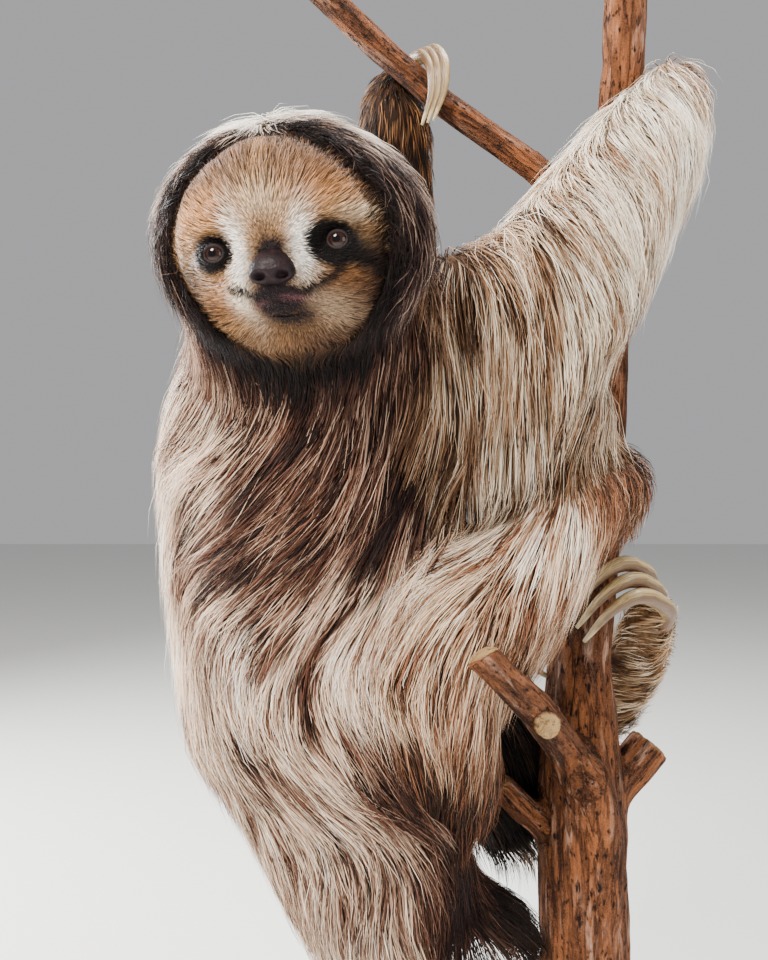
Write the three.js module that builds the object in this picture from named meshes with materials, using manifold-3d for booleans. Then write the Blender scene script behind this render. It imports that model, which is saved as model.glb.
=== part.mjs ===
// A three-toed sloth, life size, clinging to a short cut length of tree trunk that stands on a plain display stand.
//
// Millimetres, +Z up. The origin is the centre of the stand's underside. The trunk stands on the +X side, the animal's
// back is towards -X, and it has turned its face to -Y. Its right arm and leg pass the trunk on the -Y side, and its
// left arm and leg on the +Y side. Each solid reaches to the tips of the coat there.
//
// Most solids are sleeves: a sphere's grid drawn along a smooth curve through a few stations, each with its own half
// widths. Neighbours are carved from each other, in the order of the list at the end, with a thin gap between them.

import * as THREE from "three";
import { mergeVertices } from "three/addons/utils/BufferGeometryUtils.js";
import Module from "manifold-3d";

// ---------------------------------------------------------------- driving dimensions

const GAP = 0.35; // clearance between neighbouring solids

const BASE = { length: 380, depth: 320, thick: 20, corner: 40, edge: 3 };
const ROD = { radius: 9, sides: 24 };
const TRUNK = { foot: 100, top: 800, x: 124, sides: 14 }; // cut ends' heights, and where the foot of the trunk stands

const EYE = { radius: 6.2, across: 27.4, below: 12, ahead: 44.5 }; // in the head's own frame
const HEAD = { at: [-42.5, -150, 573], yaw: 6.5, roll: 5 }; // degrees: turned to -X, and leaning to -X
const NOSE = { wide: 11.5, tall: 8.5, thick: 6, across: -0.9, below: 23.4, ahead: 56.5 };

const CLAW = { root: 4.2, middle: 3.7, tip: 0.9, sides: 6 };

// ---------------------------------------------------------------- solids

const wasm = await Module();
wasm.setup();

// A closed three.js geometry as a manifold solid, turned right side out if its rows ran the other way.
function solidOf(geometry) {
  const bare = geometry.index ? geometry : mergeVertices(geometry);
  bare.deleteAttribute("normal");
  bare.deleteAttribute("uv");
  const merged = mergeVertices(bare, 1e-4);
  const triVerts = new Uint32Array(merged.index.array);
  const vertProperties = merged.attributes.position.array;
  const made = new wasm.Manifold(new wasm.Mesh({ numProp: 3, vertProperties, triVerts }));
  if (made.volume() > 0) return made;
  for (let i = 0; i < triVerts.length; i += 3) [triVerts[i + 1], triVerts[i + 2]] = [triVerts[i + 2], triVerts[i + 1]];
  return new wasm.Manifold(new wasm.Mesh({ numProp: 3, vertProperties, triVerts }));
}

// A manifold solid as a three.js geometry with flat faces.
function geometryOf(solid) {
  const mesh = solid.getMesh();
  const indexed = new THREE.BufferGeometry()
    .setAttribute("position", new THREE.BufferAttribute(new Float32Array(mesh.vertProperties), 3))
    .setIndex(new THREE.BufferAttribute(new Uint32Array(mesh.triVerts), 1));
  const flat = indexed.toNonIndexed();
  flat.computeVertexNormals();
  return flat;
}

// The largest of a solid's separate bodies, so that a sliver left by a cut is dropped.
function largestBody(solid) {
  return solid.decompose().reduce((best, one) => (one.volume() > best.volume() ? one : best));
}

// A sleeve through stations [x, y, z, wide, deep]: wide is the half width along `side`, deep the half width across it.
// The ends are domes, `blunt` times as long as they are wide, or flat cuts where `blunt` is 0.
function sleeve(stations, { sides = 14, perSpan = 2, side = [0, 1, 0], blunt = 0.7, grow = 0 } = {}) {
  const line = new THREE.CatmullRomCurve3(stations.map(([x, y, z]) => new THREE.Vector3(x, y, z)));
  const widths = new THREE.CatmullRomCurve3(stations.map(([, , , wide, deep = wide]) => new THREE.Vector3(wide, deep, 0)));
  const capRows = blunt ? 3 : 1;
  const spanRows = perSpan * (stations.length - 1);
  const rows = capRows * 2 + spanRows;
  const geometry = new THREE.SphereGeometry(1, sides, rows);
  const place = geometry.attributes.position;
  const reference = new THREE.Vector3(...side);
  for (let row = 0; row <= rows; row += 1) {
    const t = THREE.MathUtils.clamp((row - capRows) / spanRows, 0, 1);
    const beforeStart = Math.max(capRows - row, 0);
    const pastEnd = Math.max(row - capRows - spanRows, 0);
    const lean = ((beforeStart + pastEnd) / capRows) * (Math.PI / 2); // 0 on the tube, a right angle at the pole
    const centre = line.getPoint(t);
    const tangent = line.getTangent(t);
    const { x: wide, y: deep } = widths.getPoint(t);
    const reach = Math.sin(lean) * (blunt * Math.min(wide, deep) + grow);
    centre.addScaledVector(tangent, pastEnd ? reach : -reach);
    const across = reference.clone().addScaledVector(tangent, -reference.dot(tangent)).normalize();
    const over = tangent.clone().cross(across);
    const taper = Math.cos(lean);
    for (let column = 0; column <= sides; column += 1) {
      const turn = (column % sides) * ((2 * Math.PI) / sides);
      const point = centre.clone();
      point.addScaledVector(across, Math.cos(turn) * (wide + grow) * taper);
      point.addScaledVector(over, Math.sin(turn) * (deep + grow) * taper);
      const pole = row === 0 || row === rows;
      if (pole) point.copy(centre);
      place.setXYZ(row * (sides + 1) + column, point.x, point.y, point.z);
    }
  }
  return solidOf(geometry);
}

// A function of `grow` that joins sleeves made from the same options.
const sleeves = (options, ...lines) => (grow) =>
  lines.map((stations) => sleeve(stations, { ...options, grow })).reduce((whole, one) => whole.add(one));

// ---------------------------------------------------------------- the stand

// A flat plate with rounded corners and softened edges, standing on the floor.
function standBase(grow) {
  const halfLength = BASE.length / 2 - BASE.edge;
  const halfDepth = BASE.depth / 2 - BASE.edge;
  const outline = new THREE.Shape();
  const corners = [
    [halfLength - BASE.corner, halfDepth - BASE.corner, 0],
    [BASE.corner - halfLength, halfDepth - BASE.corner, 1],
    [BASE.corner - halfLength, BASE.corner - halfDepth, 2],
    [halfLength - BASE.corner, BASE.corner - halfDepth, 3],
  ];
  for (const [x, y, quarter] of corners) {
    outline.absarc(x, y, BASE.corner, (quarter * Math.PI) / 2, ((quarter + 1) * Math.PI) / 2, false);
  }
  const plate = new THREE.ExtrudeGeometry(outline, {
    depth: BASE.thick - 2 * BASE.edge,
    bevelThickness: BASE.edge,
    bevelSize: BASE.edge,
    bevelSegments: 1,
    curveSegments: 5,
  });
  return solidOf(plate.translate(0, 0, BASE.edge + grow));
}

// A round rod from the plate up to the foot of the trunk.
function standRod(grow) {
  const length = TRUNK.foot - BASE.thick - 2 * GAP;
  const rod = new THREE.CylinderGeometry(ROD.radius + grow, ROD.radius + grow, length + 2 * grow, ROD.sides);
  return solidOf(rod.rotateX(Math.PI / 2).translate(TRUNK.x, 0, BASE.thick + GAP + length / 2));
}

// ---------------------------------------------------------------- the perch

const wood = { sides: TRUNK.sides, blunt: 0, side: [0, 1, 0] };

// The trunk swells where its lower limbs leave it, and leans a little to +X on the way up.
const trunk = sleeves({ ...wood, perSpan: 1 }, [
  [TRUNK.x, 0, TRUNK.foot, 29],
  [TRUNK.x, 0, 180, 27],
  [122, -1, 262, 26.5],
  [121, -1, 305, 23],
  [121, 0, 350, 18.5],
  [126, 0, 395, 17.5],
  [130, 0, 450, 17],
  [134, 0, 530, 16],
  [140, 0, 620, 15],
  [147, 0, 705, 12.5],
  [152, 0, TRUNK.top, 12],
]);

// The upper branch, which the left hand hooks over.
const branch = sleeves({ ...wood, sides: 12, perSpan: 1 }, [
  [140, 0, 612, 9.5],
  [93, 8, 656, 8.5],
  [38, 12, 697, 8],
  [0, 15, 731, 8.5],
  [-46, 15, 775, 9],
]);

// A sawn-off limb that rises in front of the leg, with a small sawn side shoot that faces -Y. The saw cut across its
// end is slanted, and faces up.
const wholeLimb = sleeves({ ...wood, sides: 12, perSpan: 1 }, [
  [122, -6, 272, 13],
  [103, -42, 308, 11],
  [82, -78, 336, 9.5],
  [42, -142, 380, 8],
]);
const limbCut = { facing: [-0.42, -0.12, 0.9], at: 331 };
const limb = (grow) => wholeLimb(grow).trimByPlane(limbCut.facing.map((v) => -v), -limbCut.at - grow);
const shoot = sleeves({ ...wood, sides: 10, perSpan: 1, side: [0, 0, 1] }, [
  [90, -60, 326, 8],
  [88, -88, 328, 7],
]);
const stubRight = sleeves({ ...wood, sides: 12, perSpan: 1 }, [
  [128, 2, 252, 14],
  [150, 10, 272, 13],
  [168, 16, 292, 13.5],
]);
const stubLeft = sleeves({ ...wood, sides: 10, perSpan: 1 }, [
  [112, 0, 232, 10],
  [88, -5, 256, 9],
  [70, -8, 274, 8],
]);

// ---------------------------------------------------------------- the head

// A point given in the head's own frame: across to +X, ahead of the face, and above its centre.
const headTurn = new THREE.Matrix4()
  .makeTranslation(...HEAD.at)
  .multiply(new THREE.Matrix4().makeRotationZ(THREE.MathUtils.degToRad(-HEAD.yaw)))
  .multiply(new THREE.Matrix4().makeRotationY(THREE.MathUtils.degToRad(-HEAD.roll)));
const onHead = (across, ahead, above) => new THREE.Vector3(across, -ahead, above).applyMatrix4(headTurn);
const headStation = ([ahead, above, wide, deep]) => [...onHead(0, ahead, above).toArray(), wide, deep];
const headSide = onHead(1, 0, 0).sub(onHead(0, 0, 0)).toArray();

// Rings from the back of the hood of hair, over the flat disc of the face, to the tip of the short muzzle.
const headRings = [
  [-42, 2, 44, 40],
  [-24, 1, 62, 56],
  [0, 0, 68, 60.5],
  [14, -1, 65, 57],
  [26, -4, 56, 51],
  [34, -9, 46, 43],
  [42, -17, 33, 32],
  [49, -24, 21, 20],
  [55, -24, 14, 13],
].map(headStation);
const head = sleeves({ sides: 20, perSpan: 1, side: headSide, blunt: 0.5 }, headRings);

function ellipsoid(centre, [wide, thick, tall], sides, rows) {
  const ball = new THREE.SphereGeometry(1, sides, rows).scale(wide, thick, tall);
  ball.rotateY(THREE.MathUtils.degToRad(-HEAD.roll)).rotateZ(THREE.MathUtils.degToRad(-HEAD.yaw));
  return solidOf(ball.translate(centre.x, centre.y, centre.z));
}
const eye = (hand) => (grow) => {
  const radius = EYE.radius + grow;
  return ellipsoid(onHead(hand * EYE.across, EYE.ahead, -EYE.below), [radius, radius, radius], 12, 7);
};
const nose = (grow) =>
  ellipsoid(
    onHead(NOSE.across, NOSE.ahead, -NOSE.below),
    [NOSE.wide + grow, NOSE.thick + grow, NOSE.tall + grow],
    12,
    7,
  );

const neck = sleeves({ sides: 14, perSpan: 1, side: [1, 0, 0] }, [
  [-38, -46, 538, 74, 68],
  [-42, -88, 552, 68, 62],
  [-44, -128, 566, 60, 54],
]);

// ---------------------------------------------------------------- the body

// The body from the shoulders, which are hunched up behind the head, to the rump.
const torso = sleeves({ sides: 20, perSpan: 1, side: [0, 1, 0], blunt: 0.6 }, [
  [-38, -50, 562, 58, 62],
  [-38, -48, 520, 76, 84],
  [-40, -42, 470, 84, 89],
  [-43, -36, 425, 86, 86],
  [-46, -29, 380, 86, 80],
  [-42, -27, 330, 86, 79],
  [-18, -26, 278, 78, 70],
  [-4, -24, 230, 64, 62],
  [2, -22, 196, 47, 50],
]);
const tail = sleeves({ sides: 12, side: [0, 1, 0], blunt: 0.9 }, [
  [44, -10, 208, 24],
  [68, -12, 196, 20],
  [86, -14, 184, 13],
]);

// Long hair hangs below the elbow and the upper arm, so that solid has a hanging lobe.
const upperArmRight = sleeves(
  { side: [0, 1, 0], perSpan: 1 },
  [
    [0, -60, 516, 50, 62],
    [44, -68, 528, 50, 66],
    [84, -74, 542, 46, 62],
  ],
  [
    [50, -62, 486, 30, 41],
    [82, -64, 504, 34, 41],
    [114, -56, 508, 26, 29],
  ],
);
const forearmRight = sleeves({ side: [0, 1, 0], perSpan: 1 }, [
  [88, -76, 556, 46, 50],
  [118, -62, 600, 44, 44],
  [150, -40, 650, 36, 37],
  [174, -8, 694, 26, 26],
]);
const handRight = sleeves({ side: [0, 0, 1], sides: 12, perSpan: 2, blunt: 0.8 }, [
  [175, -6, 697, 25, 24],
  [176, 22, 700, 20, 17],
  [160, 37, 698, 17, 13],
]);

const upperArmLeft = sleeves({ side: [1, 0, 0], perSpan: 1 }, [
  [-6, -6, 520, 46, 48],
  [6, 46, 540, 42, 44],
  [13, 94, 562, 36, 38],
]);
const forearmLeft = sleeves({ side: [1, 0, 0], perSpan: 1 }, [
  [12, 92, 566, 35, 37],
  [6, 72, 630, 31, 33],
  [7, 34, 694, 27, 27],
]);
const handLeft = sleeves({ side: [1, 0, 0], sides: 12, perSpan: 1, blunt: 0.8 }, [
  [7, 33, 698, 26, 25],
  [9, 36, 715, 21, 18],
  [19, 29, 727, 13, 10],
]);

// The haunch and the thigh are one sleeve that rises from the rump and turns up across the trunk to the knee.
const thighRight = sleeves({ side: [0, 1, 0], sides: 14, perSpan: 2 }, [
  [22, -48, 286, 46, 48],
  [20, -67, 352, 54, 54],
  [72, -62, 404, 45, 43],
  [108, -54, 443, 33, 28],
  [124, -48, 459, 28, 26],
]);
const shankRight = sleeves({ side: [0, 0, 1], sides: 12, perSpan: 1, blunt: 0.6 }, [
  [129, -45, 462, 26, 24],
  [149, -18, 456, 22, 15],
  [143, 22, 436, 22, 14],
  [130, 42, 404, 22, 18],
]);
const footRight = sleeves({ side: [0, 0, 1], sides: 12, perSpan: 1, blunt: 0.8 }, [
  [130, 43, 402, 22, 18],
  [108, 47, 386, 21, 18],
  [88, 44, 370, 17, 13],
]);

const thighLeft = sleeves({ side: [0, 1, 0], perSpan: 1 }, [
  [10, 18, 314, 42, 50],
  [56, 25, 294, 38, 52],
  [84, 27, 250, 29, 38],
]);
const shankLeft = sleeves({ side: [0, 1, 0], sides: 12, perSpan: 1 }, [
  [76, 28, 238, 28, 28],
  [108, 56, 258, 22, 24],
  [142, 50, 290, 16, 17],
]);
const footLeft = sleeves({ side: [0, 1, 0], sides: 12, perSpan: 1, blunt: 0.8 }, [
  [140, 51, 288, 17, 16],
  [150, 42, 315, 21, 20],
  [161, 26, 345, 22, 21],
  [164, 8, 370, 20, 18],
  [165, -3, 384, 14, 13],
]);

// ---------------------------------------------------------------- the claws

// Three claws side by side. The line is the middle one's, and `spread` moves its neighbours, more at the root than
// at the tip by `close`.
function clawLines(line, spread, close) {
  return [-1, 0, 1].map((step) =>
    line.map(([x, y, z], i) => {
      const share = step * (1 - (close * i) / (line.length - 1));
      return [x + share * spread[0], y + share * spread[1], z + share * spread[2]];
    }),
  );
}
const clawRadii = [CLAW.root, CLAW.root, CLAW.middle, CLAW.middle * 0.7, CLAW.tip];
function claws(limbName, line, spread, close, side, scale = 1) {
  return clawLines(line, spread, close).map((points, i) => ({
    name: `claw_${limbName}_${i + 1}`,
    look: "claw",
    make: sleeves(
      { sides: CLAW.sides, perSpan: 1, side, blunt: 0.6 },
      points.map((point, k) => [...point, clawRadii[k] * scale, clawRadii[k] * scale * 0.85]),
    ),
  }));
}

// Each line runs from the root, inside the coat of the hand or foot, to the tip.
const handRightLine = [[166, 33, 697], [153, 38, 696], [143, 36, 691], [139, 28, 683], [139, 19, 676]];
const handLeftLine = [[17, 31, 729], [27, 16, 731], [33, 0, 717], [33, -3, 699], [27, 0, 681]];
const footRightLine = [[94, 46, 374], [84, 40, 368], [82, 22, 360], [94, 6, 352], [106, -2, 344]];
const footLeftLine = [[166, -1, 380], [167, -10, 391], [148, -29, 401], [130, -33, 393], [115, -24, 372]];
const clawSets = [
  ...claws("hand_right", handRightLine, [0, 0, 9], 0.2, [0, 0, 1]),
  ...claws("hand_left", handLeftLine, [4.4, -2, 1], 0.2, [1, 0, 0], 0.85),
  ...claws("foot_right", footRightLine, [3, 0, 9], 0.2, [0, 0, 1]),
  ...claws("foot_left", footLeftLine, [5, -4, -10.5], 0.25, [0, 0, 1], 1.25),
];

// ---------------------------------------------------------------- carving and materials

// Earlier entries keep their whole volume; later ones are carved to fit round them.
const order = [
  { name: "stand_base", look: "lacquer", make: standBase },
  { name: "stand_rod", look: "steel", make: standRod },
  { name: "perch_trunk", look: "bark", make: trunk },
  { name: "perch_branch", look: "bark", make: branch },
  { name: "perch_limb", look: "bark", make: limb },
  { name: "perch_shoot", look: "bark", make: shoot },
  { name: "perch_stub_right", look: "bark", make: stubRight },
  { name: "perch_stub_left", look: "bark", make: stubLeft },
  { name: "nose", look: "nose", make: nose },
  { name: "eye_right", look: "eye", make: eye(-1) },
  { name: "eye_left", look: "eye", make: eye(1) },
  { name: "head", look: "face_coat", make: head },
  { name: "torso", look: "body_coat", make: torso },
  { name: "neck", look: "dark_coat", make: neck },
  { name: "tail", look: "body_coat", make: tail },
  { name: "thigh_right", look: "pale_coat", make: thighRight },
  { name: "thigh_left", look: "dark_coat", make: thighLeft },
  { name: "upper_arm_right", look: "pale_coat", make: upperArmRight },
  { name: "upper_arm_left", look: "dark_coat", make: upperArmLeft },
  { name: "shank_right", look: "pale_coat", make: shankRight },
  { name: "shank_left", look: "dark_coat", make: shankLeft },
  { name: "forearm_right", look: "pale_coat", make: forearmRight },
  { name: "forearm_left", look: "dark_coat", make: forearmLeft },
  { name: "foot_right", look: "pale_coat", make: footRight },
  { name: "foot_left", look: "pale_coat", make: footLeft },
  { name: "hand_right", look: "pale_coat", make: handRight },
  { name: "hand_left", look: "dark_coat", make: handLeft },
  ...clawSets,
];

const looks = {
  lacquer: { color: 0x1d1b1a, roughness: 0.35, metalness: 0 },
  steel: { color: 0x9a9c9e, roughness: 0.3, metalness: 1 },
  bark: { color: 0x8a5f45, roughness: 0.85, metalness: 0 },
  nose: { color: 0x2a1c1b, roughness: 0.35, metalness: 0 },
  eye: { color: 0x2b170f, roughness: 0.08, metalness: 0 },
  face_coat: { color: 0xc9a77c, roughness: 0.8, metalness: 0 },
  body_coat: { color: 0x8f735d, roughness: 0.8, metalness: 0 },
  pale_coat: { color: 0xcbb89f, roughness: 0.8, metalness: 0 },
  dark_coat: { color: 0x5a3f2d, roughness: 0.8, metalness: 0 },
  claw: { color: 0xd9c7a0, roughness: 0.45, metalness: 0 },
};

const sloth = new THREE.Group();
let taken = null; // everything carved so far, grown by the gap
for (const { name, look, make } of order) {
  const whole = make(0);
  const carved = largestBody(taken ? whole.subtract(taken) : whole);
  const mesh = new THREE.Mesh(geometryOf(carved), new THREE.MeshStandardMaterial(looks[look]));
  mesh.name = name;
  sloth.add(mesh);
  const grown = make(GAP);
  taken = taken ? taken.add(grown) : grown;
}

export default sloth;
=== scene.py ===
# %% [markdown]
# # A three-toed sloth on a cut trunk
#
# The model is an animal of long coarse hair, so most of the work here is the coat. The CAD file gives plain
# solids that reach to the tips of the hair. This notebook draws one skin inside them, models the face on
# it, and then grows the coat from that skin as thousands of small solid locks. The trunk gets bark, and the
# display stand a dark lacquer.
#
# Lengths are metres, +Z is up, and the face looks towards -Y.

import math

import bpy
import numpy as np
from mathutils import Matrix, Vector, kdtree, noise
from mathutils.bvhtree import BVHTree


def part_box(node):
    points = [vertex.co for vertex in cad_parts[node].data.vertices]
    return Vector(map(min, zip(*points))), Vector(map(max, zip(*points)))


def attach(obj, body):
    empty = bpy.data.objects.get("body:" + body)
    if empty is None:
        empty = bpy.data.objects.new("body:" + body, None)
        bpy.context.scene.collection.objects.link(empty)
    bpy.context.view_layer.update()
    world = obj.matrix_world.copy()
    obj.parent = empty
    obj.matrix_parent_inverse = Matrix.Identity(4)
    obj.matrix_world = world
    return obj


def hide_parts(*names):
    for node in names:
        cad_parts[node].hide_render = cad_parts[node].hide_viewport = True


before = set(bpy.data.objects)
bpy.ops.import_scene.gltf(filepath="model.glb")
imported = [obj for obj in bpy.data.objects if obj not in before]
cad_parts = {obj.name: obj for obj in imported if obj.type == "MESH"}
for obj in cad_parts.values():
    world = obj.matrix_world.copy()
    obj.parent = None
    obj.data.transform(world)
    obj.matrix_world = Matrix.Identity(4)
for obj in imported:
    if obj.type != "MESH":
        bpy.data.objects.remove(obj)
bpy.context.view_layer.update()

# %% [markdown]
# ## Small tools
#
# Blender's operators work on the selected objects, so each helper first selects just what it needs. Meshes
# are read into and written from NumPy arrays, which is much faster than visiting vertices one by one.


# %% Selecting and changing objects
def select(*objects):
    if bpy.context.mode != "OBJECT":
        bpy.ops.object.mode_set(mode="OBJECT")
    bpy.ops.object.select_all(action="DESELECT")
    for one in objects:
        one.select_set(True)
    bpy.context.view_layer.objects.active = objects[0]


def modify(obj, kind, **settings):
    select(obj)
    made = obj.modifiers.new(kind.title(), kind)
    for name, value in settings.items():
        setattr(made, name, value)
    bpy.ops.object.modifier_apply(modifier=made.name)
    return obj


def edit(obj, kind="FACE", chosen=None):
    """Goes into edit mode with the chosen faces or edges selected, or else with everything."""
    select(obj)
    bpy.ops.object.mode_set(mode="EDIT")
    bpy.ops.mesh.select_mode(type=kind)
    bpy.ops.mesh.select_all(action="SELECT" if chosen is None else "DESELECT")
    if chosen is not None:
        bpy.ops.object.mode_set(mode="OBJECT")
        items = obj.data.polygons if kind == "FACE" else obj.data.edges
        items.foreach_set("select", chosen)
        bpy.ops.object.mode_set(mode="EDIT")


def leave_edit():
    bpy.ops.object.mode_set(mode="OBJECT")


# %% Reading and writing meshes
def read(items, name, width=3, kind=np.float32):
    flat = np.empty(len(items) * width, kind)
    items.foreach_get(name, flat)
    return flat.reshape(-1, width) if width > 1 else flat


def points(obj):
    return read(obj.data.vertices, "co").astype(float)


def place(obj, where):
    obj.data.vertices.foreach_set("co", np.asarray(where, np.float32).ravel())
    obj.data.update()


def normals(obj):
    return read(obj.data.vertex_normals, "vector").astype(float)


def store(data, name, values):
    """Keeps three numbers per vertex under a name that materials can read."""
    made = data.attributes.new(name, "FLOAT_VECTOR", "POINT")
    made.data.foreach_set("vector", np.asarray(values, np.float32).ravel())


def store_marking(data, colour):
    """Keeps a colour per vertex as the marking that the skin's and the coat's materials read."""
    made = data.color_attributes.new("marking", "FLOAT_COLOR", "POINT")
    solid = np.concatenate([colour, np.ones((*colour.shape[:-1], 1))], -1)
    made.data.foreach_set("color", solid.astype(np.float32).ravel())


def tree_of(mesh):
    """A search tree of the faces, which finds the nearest one to a point or the one that a ray hits."""
    return BVHTree.FromPolygons([v.co for v in mesh.vertices], [p.vertices for p in mesh.polygons])


# %% Numbers
def unit(v):
    return v / np.maximum(np.linalg.norm(v, axis=-1, keepdims=True), 1e-9)


def bump(x, low, high):
    """0 below low, 1 above high, and a smooth step between them."""
    t = np.clip((x - low) / (high - low), 0, 1)
    return t * t * (3 - 2 * t)


def linear(*rgb):
    """A colour given as on a screen, 0-255, as the linear values that the renderer wants."""
    c = np.array(rgb) / 255
    return np.where(c <= 0.04045, c / 12.92, ((c + 0.055) / 1.055) ** 2.4)


def ripple(where, scale):
    """Smooth noise between about -1 and 1 at each point. A larger scale makes smaller patches."""
    return np.array([noise.noise(p * scale) for p in map(Vector, where)])


rng = np.random.default_rng(7)
print("a mid grey on a screen is", linear(128, 128, 128).round(2))


# %% [markdown]
# Materials are node trees. `Wire` wraps one output socket, so that `a * b + 0.5` adds the maths nodes by
# itself. `dress` plugs a finished colour, and a height for the bumps, into a material's shader.


# %% Shader maths
class Wire:
    def __init__(self, tree, socket):
        self.tree, self.socket = tree, socket

    def node(self, kind, inputs=None, out=0, **settings):
        made = self.tree.nodes.new(kind)
        for name, value in settings.items():
            setattr(made, name, value)
        for name, value in (inputs or {}).items():
            plug(self.tree, made.inputs[name], value)
        return Wire(self.tree, made.outputs[out])

    def maths(self, operation, *others):
        wide = self.socket.type in ("RGBA", "VECTOR")
        kind = "ShaderNodeVectorMath" if wide else "ShaderNodeMath"
        values = [(v,) * 3 if wide and isinstance(v, (int, float)) else v for v in (self, *others)]
        return self.node(kind, dict(enumerate(values)), operation=operation)

    def __add__(self, other):
        return self.maths("ADD", other)

    def __sub__(self, other):
        return self.maths("SUBTRACT", other)

    def __rsub__(self, other):
        return self * -1.0 + other

    def __mul__(self, other):
        return self.maths("MULTIPLY", other)

    __radd__, __rmul__ = __add__, __mul__

    def clamp(self, low=0.0, high=1.0):
        return self.maths("MAXIMUM", low).maths("MINIMUM", high)

    def ramp(self, low, high):
        limits = {"Value": self, "From Min": low, "From Max": high}
        return self.node("ShaderNodeMapRange", limits, interpolation_type="SMOOTHSTEP")

    def mix(self, other, factor):
        return self.node("ShaderNodeMix", {0: factor, 6: self, 7: other}, out=2, data_type="RGBA")

    def part(self, axis):
        return self.node("ShaderNodeSeparateXYZ", {0: self}, out=axis)

    def tint(self, *rgb):
        """A colour as on a screen, which other colours can be mixed into."""
        made = self.node("ShaderNodeRGB")
        made.socket.default_value = (*linear(*rgb), 1)
        return made

    def attribute(self, name, out=1):
        return self.node("ShaderNodeAttribute", out=out, attribute_name=name)

    def texture(self, scale, where=None, kind="Noise", **inputs):
        """A pattern on the object's own coordinates, or on the ones given."""
        where = where or self.node("ShaderNodeTexCoord", out=3)
        return self.node(f"ShaderNodeTex{kind}", {"Vector": where, "Scale": scale, **inputs})


def plug(tree, socket, value):
    if isinstance(value, Wire):
        tree.links.new(value.socket, socket)
    elif socket.type == "RGBA" and len(value) == 3:
        socket.default_value = (*value, 1)
    else:
        socket.default_value = value


def material(name, **constants):
    """A new material with its shader's constants, and a Wire to start its nodes from."""
    made = bpy.data.materials.new(name)
    made.use_nodes = True
    shader = made.node_tree.nodes["Principled BSDF"]
    sockets = {socket.name.lower().replace(" ", "_"): socket for socket in shader.inputs}
    for key, value in constants.items():
        plug(made.node_tree, sockets[key], value)
    return made, Wire(made.node_tree, shader.outputs[0])


def dress(mat, colour, height=None, distance=0.001, strength=1.0):
    sockets = mat.node_tree.nodes["Principled BSDF"].inputs
    plug(mat.node_tree, sockets["Base Color"], colour)
    if height is not None:
        relief = height.node("ShaderNodeBump", {"Height": height, "Distance": distance, "Strength": strength})
        plug(mat.node_tree, sockets["Normal"], relief)


def finish(obj, mat):
    """Gives a finished piece its material and smooth faces, and lets it ride on the one body."""
    obj.data.materials.clear()
    obj.data.materials.append(mat)
    obj.data.polygons.foreach_set("use_smooth", [True] * len(obj.data.polygons))
    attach(obj, "root")


# %% [markdown]
# ## The skin
#
# A real sloth is one skin under one coat. The CAD solids are parted with thin gaps, so copies of them are
# swollen a little, joined, and remeshed into a single closed surface. The surface is smoothed, sunk by the
# depth of the coat, and remeshed once more, because sinking it can fold the narrow places.

# %% The parts of the flesh
PARTS = {  # coat and hair in millimetres, palette, the near side's guides, the other sides' plain way
    "head": (8, 34, "hood", None, (0, 0, -1)),
    "neck": (10, 36, "neck", None, (0, 0.1, -1)),
    "torso": (10, 54, "torso", "torso", (0.3, 0, -1)),
    "tail": (7, 34, "far_leg", None, (0.8, 0, -0.6)),
    "upper_arm_right": (9, 52, "arm", "arm", (-0.3, 0, -1)),
    "forearm_right": (8, 44, "arm", "arm", (-0.5, -0.1, -1)),
    "hand_right": (5, 18, "arm", "arm", (0.1, -0.3, -1)),
    "upper_arm_left": (9, 34, "torso", None, (0.1, 0.1, -1)),
    "forearm_left": (5, 17, "far_arm", None, (0.12, 0.35, -1)),
    "hand_left": (3, 13, "far_arm", None, (-0.1, 0.2, -1)),
    "thigh_right": (9, 44, "thigh", "thigh", (-0.3, 0, -1)),
    "shank_right": (5, 24, "thigh", None, (0.1, 0.6, -1)),
    "foot_right": (5, 14, "foot", None, (-0.8, 0.1, -0.6)),
    "thigh_left": (7, 34, "far_leg", None, (0.5, 0.1, -1)),
    "shank_left": (6, 24, "foot", None, (0.4, 0.3, -0.5)),
    "foot_left": (3, 21, "foot", None, (0.5, -0.5, 0.1)),
}
FLESH = list(PARTS)
COAT_DEPTH, HAIR_LENGTH, PALETTE_OF, GUIDES_OF, PLAIN_WAY = zip(*PARTS.values())
print("flesh nodes", len(FLESH))


# %% Copies of the solids
def copy_of(names, label, swell):
    """The CAD nodes of these names, welded, swollen and joined into one new object."""
    copies = []
    for name in names:
        mesh = bpy.data.meshes.new_from_object(bpy.data.objects[name])
        one = bpy.data.objects.new(f"{label} part", mesh)
        bpy.context.scene.collection.objects.link(one)
        modify(one, "WELD", merge_threshold=1e-5)
        place(one, points(one) + normals(one) * swell)
        copies.append(one)
    select(*copies)
    bpy.ops.object.join()
    whole = bpy.context.object
    whole.name = whole.data.name = label
    whole.data.materials.clear()
    return whole


# The flesh as the CAD has it, kept as arrays to look up which node is nearest to a point.
outer = copy_of(FLESH, "outer", 0.0)
outer_tree = tree_of(outer.data)
owners = np.repeat(range(len(FLESH)), [len(bpy.data.objects[name].data.polygons) for name in FLESH])
print("flesh", len(owners), "CAD faces,", len(outer.data.polygons), "after welding")


def owner_weights(obj, passes):
    """How much each vertex belongs to each flesh node, blurred along the edges so that nodes blend."""
    where = points(obj)
    index = np.array([outer_tree.find_nearest(p)[2] for p in where.tolist()])
    weight = np.eye(len(FLESH))[owners[index]]
    edges = read(obj.data.edges, "vertices", 2, np.int32)
    ends, others = np.concatenate([edges, edges[:, ::-1]]).T
    count = np.bincount(ends, minlength=len(where))[:, None]
    for _ in range(passes):
        summed = np.stack([np.bincount(ends, w[others], len(where)) for w in weight.T], 1)
        weight = 0.5 * weight + 0.5 * summed / count
    return weight


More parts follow.
